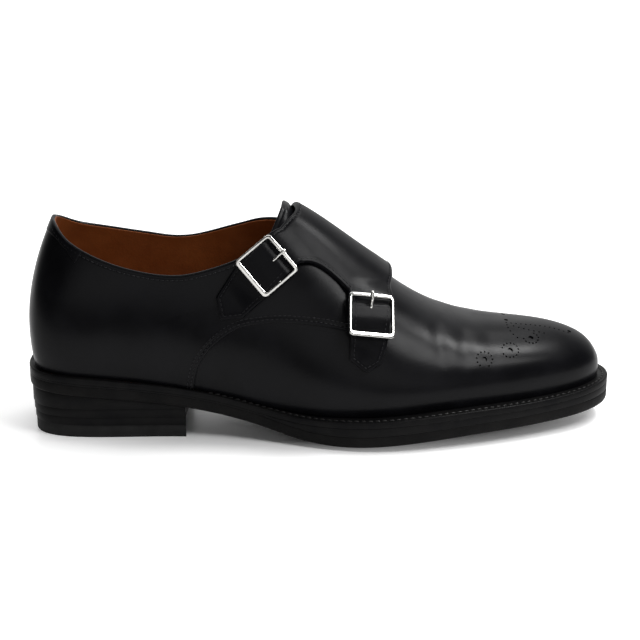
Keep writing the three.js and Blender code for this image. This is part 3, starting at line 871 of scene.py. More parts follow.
@dataclass(frozen=True)
class Finish:
    """A finish: its name, the record's slot and its main numbers."""

    name: str
    slot_name: Slot
    color: tuple[float, float, float]
    second: tuple[float, float, float]
    roughness: tuple[float, float]
    metallic: float = 0.0
    coat: float = 0.0
    coat_roughness: float = 0.1
    pore_size: float = 0.0011
    pore_depth: float = 0.3
    wave_size: float = 0.02
    wave_depth: float = 1.0
    bump: float = 0.2
    bump_distance: float = 0.0002
    specular: float = 0.5

    @property
    def slot(self) -> str:
        """Name of the record's material slot."""
        return self.slot_name.value

    def material(self) -> bpy.types.Material:
        """Builds the material once and returns it.

        Returns:
            The material.
        """
        found = bpy.data.materials.get(self.name)
        if found:
            return found
        material = bpy.data.materials.new(self.name)
        material.use_nodes = True
        n = Nodes(material.node_tree)
        shader = material.node_tree.nodes["Principled BSDF"]
        shader.inputs["Metallic"].default_value = self.metallic
        shader.inputs["Coat Weight"].default_value = self.coat
        shader.inputs["Coat Roughness"].default_value = self.coat_roughness
        shader.inputs["Specular IOR Level"].default_value = self.specular
        self.dress(n, shader)
        return material

    def feed(self, n: Nodes, shader: bpy.types.Node, tone: bpy.types.NodeSocket, worn: bpy.types.NodeSocket,
             height: bpy.types.NodeSocket) -> None:
        """Joins a surface's tone, wear and relief to the shader.

        Args:
            n: helper on the material's tree.
            shader: the Principled BSDF node.
            tone: share of the second colour.
            worn: share of the higher roughness.
            height: relief.
        """
        n.join(n.blend(tone, (*self.color, 1), (*self.second, 1)), shader.inputs["Base Color"])
        n.join(n.spread(worn, 0, 1, *self.roughness), shader.inputs["Roughness"])
        bump = n.add("ShaderNodeBump", "relief", Strength=self.bump, Distance=self.bump_distance)
        n.join(height, bump.inputs["Height"])
        n.join(bump.outputs["Normal"], shader.inputs["Normal"])

    def dress(self, n: Nodes, shader: bpy.types.Node) -> None:
        """Feeds colour, roughness and relief to the shader.

        Args:
            n: helper on the material's tree.
            shader: the Principled BSDF node.
        """
        skin = n.add("ShaderNodeGroup", "leather surface", node_tree=leather_surface())
        for label, value in (("Pore size", self.pore_size), ("Pore depth", self.pore_depth),
                             ("Wave size", self.wave_size), ("Wave depth", self.wave_depth)):
            skin.inputs[label].default_value = value
        self.feed(n, shader, skin.outputs["Tone"], skin.outputs["Rubbed"], skin.outputs["Height"])


@dataclass(frozen=True)
class MetalFinish(Finish):
    """Polished plated metal with faint handling scratches."""

    def dress(self, n: Nodes, shader: bpy.types.Node) -> None:
        """Feeds colour, roughness and relief to the shader.

        Args:
            n: helper on the material's tree.
            shader: the Principled BSDF node.
        """
        marks = n.add("ShaderNodeGroup", "fine scratches", node_tree=fine_scratches())
        self.feed(n, shader, marks.outputs["Mask"], marks.outputs["Mask"], marks.outputs["Height"])


CALF = Finish("Polished black calf", Slot.CALF, (0.0024, 0.0024, 0.0030), (0.0042, 0.0042, 0.0052), (0.28, 0.38),
              coat=0.045, coat_roughness=0.2, specular=0.085, pore_size=0.0009, pore_depth=0.10, wave_size=0.018,
              wave_depth=1.0, bump=0.25, bump_distance=0.0006)
STRAP_CALF = replace(CALF, name="Brushed black calf", roughness=(0.31, 0.41), coat=0.02, coat_roughness=0.16,
                     specular=0.062)
LINING = Finish("Tan calf lining", Slot.LINING, (0.150, 0.038, 0.0085), (0.190, 0.053, 0.0125), (0.45, 0.62),
                specular=0.15, pore_size=0.0012, pore_depth=0.5, wave_size=0.012, bump=0.3, bump_distance=0.0003)
SOCK = Finish("Insole sock leather", Slot.LINING, (0.24, 0.11, 0.04), (0.31, 0.15, 0.06), (0.5, 0.66),
              pore_size=0.0014, pore_depth=0.5, wave_size=0.014, bump=0.3, bump_distance=0.0003)
EDGE = Finish("Black edge dressing", Slot.SOLE, (0.0040, 0.0040, 0.0044), (0.0068, 0.0066, 0.0066), (0.36, 0.5),
              coat=0.015, coat_roughness=0.3, specular=0.055, pore_size=0.0016, pore_depth=0.35, wave_size=0.008,
              bump=0.3, bump_distance=0.0003)
TREAD = Finish("Blackened sole leather", Slot.SOLE, (0.0042, 0.0041, 0.0042), (0.0070, 0.0067, 0.0066), (0.42, 0.6),
               specular=0.06, pore_size=0.0018, pore_depth=0.5, wave_size=0.01, bump=0.35, bump_distance=0.0003)
RUBBER = Finish("Rubber top piece", Slot.TOP_PIECE, (0.0060, 0.0060, 0.0060), (0.0100, 0.0100, 0.0100), (0.6, 0.75),
                specular=0.2, pore_size=0.0008, pore_depth=0.6, wave_size=0.01, bump=0.3, bump_distance=0.0002)
THREAD = Finish("Black waxed thread", Slot.CALF, (0.0085, 0.0085, 0.010), (0.014, 0.014, 0.016), (0.35, 0.5),
                specular=0.2, pore_size=0.0004, pore_depth=0.8, wave_size=0.002, bump=0.3, bump_distance=0.0001)
WELT_THREAD = replace(THREAD, name="Welt thread", slot_name=Slot.SOLE, color=(0.016, 0.0155, 0.0155),
                      second=(0.026, 0.0255, 0.025), roughness=(0.4, 0.55), specular=0.25)
NICKEL = MetalFinish("Polished nickel", Slot.NICKEL, (0.80, 0.79, 0.76), (0.66, 0.65, 0.62), (0.10, 0.22),
                     metallic=1.0, bump=0.05, bump_distance=0.00005)


# ---------------------------------------------------------------- lines of the pattern

TOPLINE_U = (0, 0.045, 0.10, 0.163, 0.21, 0.253, 0.29, 0.34, 0.375, 0.41, 0.46, 0.51)
TOPLINE_LAT = (0.322, 0.312, 0.278, 0.243, 0.224, 0.217, 0.226, 0.258, 0.3, 0.335, 0.36, 0.392)
TOPLINE_MED = (0.678, 0.694, 0.717, 0.733, 0.743, 0.75, 0.739, 0.703, 0.668, 0.64, 0.62, 0.6)
THROAT_U = 0.553
TAB_LAT = ((0.0, 0.288), (0.04, 0.291), (0.069, 0.2827), (0.0844, 0.2728), (0.1032, 0.2593), (0.126, 0.2346))
SHANK_ROW = ((0.3158, 0.131), (0.306, 0.1067), (0.2946, 0.0835), (0.2865, 0.0603), (0.2815, 0.012))
SEAM_LAT = ((0.283, 0.0), (0.286, 0.03), (0.291, 0.058), (0.304, 0.092), (0.322, 0.12), (0.345, 0.144),
            (0.375, 0.160), (0.41, 0.174), (0.46, 0.188), (0.505, 0.198), (0.54, 0.225), (0.56, 0.28),
            (0.556, 0.36))
UNDERLAP = ((0.255, 0.0), (0.259, 0.06), (0.272, 0.115), (0.30, 0.158), (0.338, 0.186), (0.385, 0.204),
            (0.43, 0.216), (0.475, 0.228), (0.508, 0.25), (0.53, 0.29), (0.541, 0.37), (0.545, 0.5))


def mirrored(points: Sequence[tuple[float, float]]) -> list[tuple[float, float]]:
    """The same line on the other side of the foot."""
    return [(u, 1 - v) for u, v in points]


def collar_across(side: int, u: Array) -> Array:
    """Position across the foot of the collar of one side, over u."""
    return through(TOPLINE_U, TOPLINE_LAT if side < 0 else TOPLINE_MED, u)


def topline(side: int) -> Line:
    """Line of the collar from the heel to the throat on one side."""
    return uv_line(list(zip(TOPLINE_U, TOPLINE_LAT if side < 0 else TOPLINE_MED)))


@dataclass
class Medallion:
    """Punched decoration on the toe: large holes, each with a curl of small ones."""

    large: float = 1.4
    small: float = 0.5
    depth: float = 0.85
    curls: tuple[tuple[float, ...], ...] = (
        # u, v, curl radius mm, first and last angle in degrees, number of small holes
        (0.7538, 0.2282, 4.6, -150, 160, 13), (0.7084, 0.1841, 4.3, -60, 230, 11),
        (0.795, 0.3042, 4.2, -170, 60, 9))
    lone: Spots = ((0.7578, 0.4541), (0.8755, 0.4156))
    rows: tuple[Spots, ...] = (
        ((0.7565, 0.425), (0.79, 0.416), (0.83, 0.412), (0.872, 0.39)),
        ((0.7565, 0.402), (0.7575, 0.37), (0.762, 0.335), (0.77, 0.305)),
        ((0.768, 0.395), (0.785, 0.375), (0.80, 0.36), (0.822, 0.345)))
    pitch: float = 2.5
    web: float = 0.35

    def spots(self) -> list[tuple[float, float, float]]:
        """Place and radius of every hole: u, v, radius in mm.

        Returns:
            One (u, v, radius) for each hole.
        """
        out = [(u, v, self.large) for u, v, *_ in self.curls] + [(u, v, self.large * 0.8) for u, v in self.lone]
        for u, v, radius, first, last, count in self.curls:
            p = LAST.points(np.array([u, u + 0.004, u]), np.array([v, v, v + 0.004]))
            per_u, per_v = np.linalg.norm(p[1] - p[0]) / 0.004, np.linalg.norm(p[2] - p[0]) / 0.004
            for a in np.radians(np.linspace(first, last, count)):
                out.append((u + radius * math.cos(a) / per_u, v + radius * math.sin(a) / per_v, self.small))
        for row in self.rows:
            uv = uv_line(row)(np.linspace(0, 1, 200))
            p = LAST.points(uv[:, 0], uv[:, 1])
            run = run_along(p)
            for u, v in read_at(np.linspace(0, run[-1], int(run[-1] / self.pitch) + 1), run, uv):
                out.append((float(u), float(v), self.small))
        kept: list[tuple[float, float, float]] = []
        places: list[Array] = []
        for u, v, radius in out:
            place = LAST.points(np.array([u]), np.array([v]))[0]
            if all(np.linalg.norm(place - q) > radius + k[2] + self.web for q, k in zip(places, kept)):
                kept.append((u, v, radius))
                places.append(place)
        return kept + [(u, 1 - v, radius) for u, v, radius in kept]

    def punch(self, vamp: bpy.types.Object) -> bpy.types.Object:
        """Cuts the holes part way into the vamp.

        Args:
            vamp: the closed mesh of the vamp.

        Returns:
            The same object with the holes cut and the edges marked again.
        """
        draft = MeshDraft()
        for u, v, radius in self.spots():
            p, n = on_surface(np.array([[u, v]]), 0.0)
            side = unit(np.cross(n[0], np.array([1.0, 0.2, 0.1])))
            up = np.cross(n[0], side)
            angle = np.linspace(0, 2 * math.pi, 15 if radius < 0.8 else 25)
            rings = []
            for share, level in ((0.0, -self.depth), (0.9, -self.depth), (1.0, -self.depth * 0.5),
                                 (1.0, 1.0), (0.0, 1.0)):
                rings.append(p[0] + n[0] * level + radius * share * (
                    np.cos(angle)[:, None] * side + np.sin(angle)[:, None] * up))
            block = np.stack(rings)
            block[:, -1] = block[:, 0]
            draft.add_quads(draft.add_points(block))
        cutter = draft.build("punch", weld=1e-7)
        modifier = vamp.modifiers.new("punch", "BOOLEAN")
        modifier.operation, modifier.solver, modifier.object = "DIFFERENCE", "MANIFOLD", cutter
        fresh = bpy.data.meshes.new_from_object(vamp.evaluated_get(bpy.context.evaluated_depsgraph_get()))
        vamp.modifiers.clear()
        vamp.data = fresh
        bpy.data.objects.remove(cutter)
        fresh.polygons.foreach_set("use_smooth", [True] * len(fresh.polygons))
        fresh.set_sharp_from_angle(angle=math.radians(40))
        return vamp


@dataclass
class Upper:
    """Vamp, the two quarters, the lining, the collar bead and the tongue."""

    wall: float = 2.2
    leather: float = 1.15
    lap: float = 0.95
    lap_fade: float = 14.0
    cell: float = 0.95
    seam_rows: tuple[float, float] = (1.6, 3.4)
    collar_row: float = 2.2
    tab_height: float = 0.36
    row: StitchRow = field(default_factory=lambda: StitchRow(1.7, 0.7, 0.2, 0.07))
    medallion: Medallion = field(default_factory=Medallion)

    def creases(self, u: Array, v: Array) -> Array:
        """Soft troughs and ridges where the vamp and the quarters flex, mm.

        Args:
            u: positions from heel to toe.
            v: positions across.

        Returns:
            Heights of the relief, mm.
        """
        p = LAST.points(u, v)
        x, z = p[..., 0], p[..., 2]
        leaning = x + (z - 40) * 0.10
        # Depth, place along the sole and half width of each trough (-) and ridge (+) over the ball.
        folds = ((-0.28, 213, 3.2), (0.16, 219, 4.0), (-0.22, 226, 3.4), (0.12, 232, 4.5), (-0.14, 240, 4.0))
        flex = sum(depth * bell(leaning, middle, half) for depth, middle, half in folds)
        flex *= (smoothstep(0.46, 0.30, v) + smoothstep(0.54, 0.70, v)) * smoothstep(34, 48, z)
        waist = -0.3 * bell(x, 122, 12) * bell(z, 40, 12)
        heel = -0.22 * bell(x - 0.4 * (z - 60), 60, 9) * bell(z, 66, 16)
        return flex + waist + heel

    def side_grid(self, us: Array, side: int, off: Offset, columns: int = 26) -> Array:
        """Grid from the feather edge to the topline, or to the ridge past the throat.

        Args:
            us: rising positions from heel to toe.
            side: -1 for the outer side, 1 for the inner side.
            off: height over the last.
            columns: number of points across.

        Returns:
            A grid of points.
        """
        top = collar_across(side, np.minimum(us, TOPLINE_U[-1]))
        s = np.clip((us - TOPLINE_U[-1]) / (THROAT_U - TOPLINE_U[-1]), 0, 1)
        top = np.where(us > TOPLINE_U[-1], 0.5 + (top - 0.5) * np.sqrt(1 - s * s), top)
        foot = 0.0 if side < 0 else 1.0
        v = foot + (top - foot)[:, None] * np.linspace(0, 1, columns)[None]
        u = np.broadcast_to(us[:, None], v.shape)
        return LAST.lifted(u, v, off(u, v))

    def lining(self) -> None:
        """Tan lining of each side, closed over the toes."""
        us = np.concatenate([
            0.55 * (0.5 - 0.5 * np.cos(np.linspace(0, math.pi, 60))), [THROAT_U],
            THROAT_U + (1 - THROAT_U) * np.sin(np.linspace(0, math.pi / 2, 50))[1:]])
        for side, name in ((-1, "lining_outer_side"), (1, "lining_inner_side")):
            top, under = (self.side_grid(us, side, lambda u, v, k=level: np.full(u.shape, k))
                          for level in (-self.leather - 0.05, -self.wall))
            seat_sheet(name, top, under, LINING)

    def vamp(self) -> bpy.types.Object:
        """The vamp: one sheet from the quarters' underlap round the toe.

        Returns:
            The punched vamp.
        """
        rear = uv_line(list(UNDERLAP) + mirrored(UNDERLAP)[-2::-1])
        nose = straight(np.array([1.0, 0.0]), np.array([1.0, 1.0]))
        feather_lat = straight(np.array([UNDERLAP[0][0], 0.0]), np.array([1.0, 0.0]))
        feather_med = straight(np.array([UNDERLAP[0][0], 1.0]), np.array([1.0, 1.0]))
        s = np.linspace(0, 1, 190)
        t = np.sin(np.linspace(0, math.pi / 2, 210)) * 0.5 + np.linspace(0, 1, 210) * 0.5
        cells = coons(rear, nose, feather_lat, feather_med, s, t)
        u, v = cells[..., 0], cells[..., 1]
        behind = self.behind_seam(u, v)
        over = self.creases(u, v) - 0.9 * smoothstep(-0.5, 6.0, behind)
        draft = MeshDraft()
        draft.slab(LAST.lifted(u, v, over), LAST.lifted(u, v, over * 0 - self.leather - 0.02))
        return self.medallion.punch(draft.build("vamp"))

    def heel_tab(self) -> None:
        """Thin strip that strengthens the back of the collar on each side."""
        low = uv_line(TAB_LAT)
        for side, name in ((-1, "outer_heel_tab"), (1, "inner_heel_tab")):
            s, t = graded(9, 0.8), graded(40, 0.8, low=False)
            edge = low(t) if side < 0 else flipped(low(t))
            along = edge[:, 0] + 0.006 * t
            top = np.stack([along, collar_across(side, along)], -1)
            cells = edge[:, None] + (top - edge)[:, None] * s[None, :, None]
            panel = Panel(cells, lambda u, v: 0.02 + self.creases(u, v),
                          lambda u, v: self.tab_height + self.creases(u, v), edge_radius=0.3, open_sides="f")
            seat_sheet(name, *panel.surfaces(), CALF)

    def behind_seam(self, u: Array, v: Array) -> Array:
        """How far a point lies behind the quarter seams, mm; negative in front of them.

        Args:
            u: positions from heel to toe.
            v: positions across.

        Returns:
            Signed distances.
        """
        seam = np.array(SEAM_LAT)
        half = np.minimum(v, 1 - v)
        order = np.argsort(seam[:-2, 1])
        at = np.interp(half, seam[:-2, 1][order], seam[:-2, 0][order])
        at = np.where(half > seam[-3, 1], 0.56, at)
        line = LAST.points(*uv_line(SEAM_LAT)(np.linspace(0, 1, 260)).T)
        here = LAST.points(u, np.minimum(v, 1 - v))
        return nearest(here, line) * np.sign(at - u)

    def quarter(self, side: int, name: str) -> None:
        """One quarter, lapped over the vamp along its front seam.

        Args:
            side: -1 for the outer side, 1 for the inner side.
            name: name of the piece.
        """
        seam_points = SEAM_LAT if side < 0 else mirrored(SEAM_LAT)
        line = topline(side)
        foot = 0.0 if side < 0 else 1.0
        back = straight(np.array([0.0, foot]), np.array([0.0, line(np.array([0.0]))[0, 1]]))
        front, bottom = uv_line(seam_points), straight(np.array([0.0, foot]), np.array([SEAM_LAT[0][0], foot]))
        end = np.array(seam_points[-1])

        def collar(t: Array) -> Array:
            """Topline, led on to the top of the seam.

            Args:
                t: parameters in 0..1.

            Returns:
                The (u, v) points.
            """
            share = np.clip(t / 0.94, 0, 1)
            p = line(share)
            tail = np.clip((t - 0.94) / 0.06, 0, 1)[:, None]
            return p * (1 - tail) + end * tail

        s = graded(85, self.cell)
        t = graded(170, self.cell, low=False)
        cells = coons(back, front, bottom, collar, s, t)

        def over(u: Array, v: Array) -> Array:
            """Outer face: a lap high along the seam, sinking to nothing behind it."""
            rise = self.lap * np.exp(-np.maximum(self.behind_seam(u, v), 0) / self.lap_fade)
            return np.clip(rise, 0.06, None) + self.creases(u, v)

        panel = Panel(cells, lambda u, v: over(u, v) - self.lap, over, edge_radius=0.7, open_sides="fl")
        g = panel.border()
        top, under = panel.surfaces(g)
        d = nearest(top, g)
        n = LAST.normals(cells[..., 0], cells[..., 1])
        top -= n * (0.16 * bell(d, 2.0, 0.4))[..., None]
        seat_sheet(name, top, under, CALF)

    def collar_bead(self) -> None:
        """Narrow rolled bead that closes the collar between quarters and lining."""
        t = np.linspace(0, 1, 260)
        path = np.concatenate([topline(-1)(t)[::-1], topline(1)(t)[1:]])
        p, n = on_surface(path, -0.75)
        along = unit(np.gradient(p, axis=0))
        up = unit(np.cross(along, n))
        up *= np.sign(up[:, 2:3])
        angle = np.linspace(0, 2 * math.pi, 13)[:-1]
        ring = p[:, None] + 0.95 * np.cos(angle)[:, None] * n[:, None] + 0.62 * np.sin(angle)[:, None] * up[:, None]
        draft = MeshDraft()
        numbers = draft.band(ring)
        for k, flip in ((0, False), (-1, True)):
            draft.add_quads(np.stack([numbers[k, :7], np.concatenate([numbers[k, :1], numbers[k, :5:-1]])]), flip)
        seat_piece(draft.build("collar_bead", sharp=60), CALF)

    def tongue(self) -> None:
        """Tongue under the saddle, with a rolled rear edge and its own tan lining."""
        us = (0.388, 0.43, 0.5, 0.56, 0.605)
        lat, med = (0.345, 0.315, 0.33, 0.37, 0.43), (0.63, 0.66, 0.65, 0.62, 0.57)
        t, s = graded(75, 1.3), graded(55, 1.3)
        start = us[0] + np.where(s < 0.5, 0.014 * np.sin(math.pi * np.clip(s, 0, 1)) ** 0.8,
                                 0.014 + 0.012 * smoothstep(0.5, 1, s))
        u = start[None] + (us[-1] - start[None]) * t[:, None]
        v = through(us, lat, u) + (through(us, med, u) - through(us, lat, u)) * s[None]
        cells = np.stack([u, v], -1)

        def lift(a: Array, b: Array) -> Array:
            """Rise of the tongue's free end behind the saddle."""
            rise = 3.4 * smoothstep(0.425, 0.409, a) + 0.6 + 1.8 * smoothstep(0.53, 0.43, a)
            return rise * smoothstep(0.33, 0.45, b) * smoothstep(0.66, 0.55, b)

        layers = (("tongue_leather", -3.6, -2.6, CALF), ("tongue_lining", -4.55, -3.65, LINING))
        for name, low, high, finish in layers:
            if finish is LINING:
                cells = cells + np.stack([0.006 * (1 - t)[:, None] + 0 * u, 0.02 * (0.5 - s)[None] + 0 * u], -1)
            panel = Panel(cells, lambda a, b, k=low: k + lift(a, b), lambda a, b, k=high: k + lift(a, b),
                          edge_radius=0.6, stitch_in=2.0 if finish is CALF else 0.0)
            seat_sheet(name, *panel.surfaces(), finish, ("tongue",) if finish is CALF else ())

    def stitches(self) -> None:
        """Double row along the quarter seams and one row under the collar."""
        draft = MeshDraft()
        t = np.linspace(0.0, 0.9, 400)
        for side in (-1, 1):
            seam = uv_line(SEAM_LAT if side < 0 else mirrored(SEAM_LAT))(t)
            p, n = on_surface(seam, self.lap)
            along = unit(np.gradient(p, axis=0))
            back = unit(np.cross(n, along))
            middle = LAST.points(np.array([0.36]), np.array([0.22 if side < 0 else 0.78]))
            back *= np.sign(((middle - p) * back).sum(-1).mean())
            for inset in self.seam_rows:
                self.row.add_to(draft, p + back * inset, n)
            q, m = on_surface(topline(side)(np.linspace(0, 0.9, 400)), 0.12)
            along = unit(np.gradient(q, axis=0))
            down = unit(np.cross(m, along))
            down *= -np.sign(down[:, 2:3])
            self.row.add_to(draft, q + down * self.collar_row, m)
        shank = uv_line(SHANK_ROW)(t)
        for line in (shank, flipped(shank)):
            self.row.add_to(draft, *on_surface(line + np.array([-0.012, 0.0]), 0.30))
        seat_piece(draft.build("upper_stitches", sharp=80), THREAD)

    def build(self) -> None:
        """Makes the whole upper."""
        seat_piece(self.vamp(), CALF, ("upper",))
        self.quarter(-1, "outer_quarter")
        self.quarter(1, "inner_quarter")
        self.lining()
        self.collar_bead()
        self.heel_tab()
        self.tongue()
        self.stitches()


# ---------------------------------------------------------------- saddle and buckles


@dataclass
class Buckle:
    """One rectangular buckle with its centre bar and prong, standing on a strap.

    Its own frame is x across the strap, y along it towards the instep, z away from the foot.
    """

    name: str
    at: tuple[float, float]
    towards: tuple[float, float]
    rise: float
    width: float = 23.5
    length: float = 22.5
    side_bar: float = 1.45
    end_bar: float = 2.3
    instep_bar: float = 1.8
    thick: float = 2.1
    corner: float = 2.2
    inner_corner: float = 1.1
    bow: float = 0.7
    bevel: float = 0.34
    bar_radius: float = 0.7
    bar_depth: float = 0.85
    bar_into_frame: float = 0.2

    def place(self) -> tuple[Array, Array]:
        """Origin and the matrix whose rows are the buckle's axes, in the last's frame.

        Returns:
            The origin and the matrix.
        """
        u, v = np.array([self.at[0]]), np.array([self.at[1]])
        z = LAST.normals(u, v)[0]
        spot = LAST.points(u, v)[0]
        y = LAST.points(np.array([self.towards[0]]), np.array([self.towards[1]]))[0] - spot
        y = unit(y - z * (y @ z))
        return spot + z * self.rise, np.stack([np.cross(y, z), y, z])

    def local(self, points: Array) -> Array:
        """The points in the buckle's own frame."""
        origin, axes = self.place()
        return (points - origin) @ axes.T

    def world(self, points: Array) -> Array:
        """Points of the buckle's own frame in the last's frame."""
        origin, axes = self.place()
        return origin + points @ axes

    def outline(self, half_x: float, half_y: float, radius: float, steps: int = 7, run: int = 8) -> Array:
        """Closed rounded rectangle with the same number of points for any size.

        Args:
            half_x: half the width.
            half_y: half the length.
            radius: radius of the corners.
            steps: points in each corner.
            run: cells along each side.

        Returns:
            The (x, y) points.
        """
        arc = np.linspace(0, math.pi / 2, steps)
        out = []
        for k, (sx, sy) in enumerate(((1, 1), (-1, 1), (-1, -1), (1, -1))):
            turn = arc + k * math.pi / 2
            out.append(np.stack([sx * (half_x - radius) + radius * np.cos(turn),
                                 sy * (half_y - radius) + radius * np.sin(turn)], -1))
        pts = []
        for a, b in zip(out, out[1:] + out[:1]):
            pts.append(a)
            pts.append(a[-1] + (b[0] - a[-1]) * (np.arange(1, run) / run)[:, None])
        return np.concatenate(pts)

    def frame_mesh(self) -> None:
        """Bevelled frame, a little bowed over the strap at its instep end."""
        outer = self.outline(self.width / 2, self.length / 2, self.corner)
        inner = self.outline(self.width / 2 - self.side_bar, (self.length - self.end_bar - self.instep_bar) / 2,
                             self.inner_corner)
        inner[:, 1] += (self.end_bar - self.instep_bar) / 2
        bevel = self.bevel
        section = ((0, bevel), (bevel * 0.3, bevel * 0.3), (bevel, 0), (-bevel, 0),
                   (-bevel * 0.3, bevel * 0.3), (0.0, bevel), (0.0, self.thick - bevel),
                   (-bevel * 0.3, self.thick - bevel * 0.3), (-bevel, self.thick), (bevel, self.thick),
                   (bevel * 0.3, self.thick - bevel * 0.3), (0, self.thick - bevel))
        across = unit(outer - inner)
        rings = []
        for k, (share, height) in enumerate(section):
            from_outer = k in (0, 1, 2, 9, 10, 11)
            plan = outer - across * share if from_outer else inner - across * share
            lift = self.bow * (1 - (plan[:, 0] / (self.width / 2)) ** 2) * smoothstep(0, 10, plan[:, 1])
            rings.append(np.concatenate([plan, (height + lift)[:, None]], 1))
        draft = MeshDraft()
        draft.ring(self.world(np.stack(rings, 1)))
        seat_piece(draft.build(f"{self.name}_buckle_frame", sharp=50), NICKEL, (f"buckle_{self.name}",))

    def rod(self, path: Array, radii: Array, name: str, replaces: Sequence[str] = ()) -> None:
        """Round rod along a path with a radius at each point, closed at both ends.

        Args:
            path: points of its middle line.
            radii: radius at each point, 0 at the ends.
            name: name of the piece.
            replaces: CAD nodes that it stands for.
        """
        ahead = unit(np.gradient(path, axis=0))
        side = unit(np.cross(ahead, np.array([0.0, 0.37, 1.0])))
        up = np.cross(side, ahead)
        angle = np.linspace(0, 2 * math.pi, 17)
        ring = path[:, None] + radii[:, None, None] * (
            np.cos(angle)[None, :, None] * side[:, None] + np.sin(angle)[None, :, None] * up[:, None])
        ring[:, -1] = ring[:, 0]
        draft = MeshDraft()
        draft.add_quads(draft.add_points(self.world(ring)))
        seat_piece(draft.build(name, sharp=60), NICKEL, replaces)

    def bar_and_prong(self) -> None:
        """Centre bar under the strap and the prong that comes up through it."""
        reach = self.width / 2 - self.side_bar + self.bar_into_frame
        x = np.linspace(-1, 1, 9) * reach
        x[[0, 1, -2, -1]] = -reach, -reach + 0.01, reach - 0.01, reach
        path = np.stack([x, x * 0, x * 0 - self.bar_depth], -1)
        radii = np.full(len(x), self.bar_radius)
        radii[[0, -1]] = 0.0
        self.rod(path, radii, f"{self.name}_centre_bar")
        top = self.thick + self.bow + 0.72
        half = self.length / 2
        ys = np.array([3.9, 4.5, 5.2, 6.1, 7.2, 8.5, half - self.instep_bar * 0.5, half + 0.2, half + 0.75])
        zs = np.array([0.1, 0.7, 1.25, 1.7, 2.15, top - 0.35, top + 0.02, top - 0.1, top - 0.45])
        t = np.linspace(0, 1, 33)
        at = np.linspace(0, 1, len(ys))
        path = np.stack([t * 0, through(at, ys, t), through(at, zs, t)], -1)
        radii = 0.66 + 0.34 * bell(path[:, 1], half - 0.2, 1.0)
        radii[-1], radii[0] = 0.0, 0.0
        radii[-2], radii[-3] = 0.42, 0.72
        self.rod(path, radii, f"{self.name}_prong", (f"prong_{self.name}",))

    def build(self) -> None:
        """Makes the buckle."""
        self.frame_mesh()
        self.bar_and_prong()


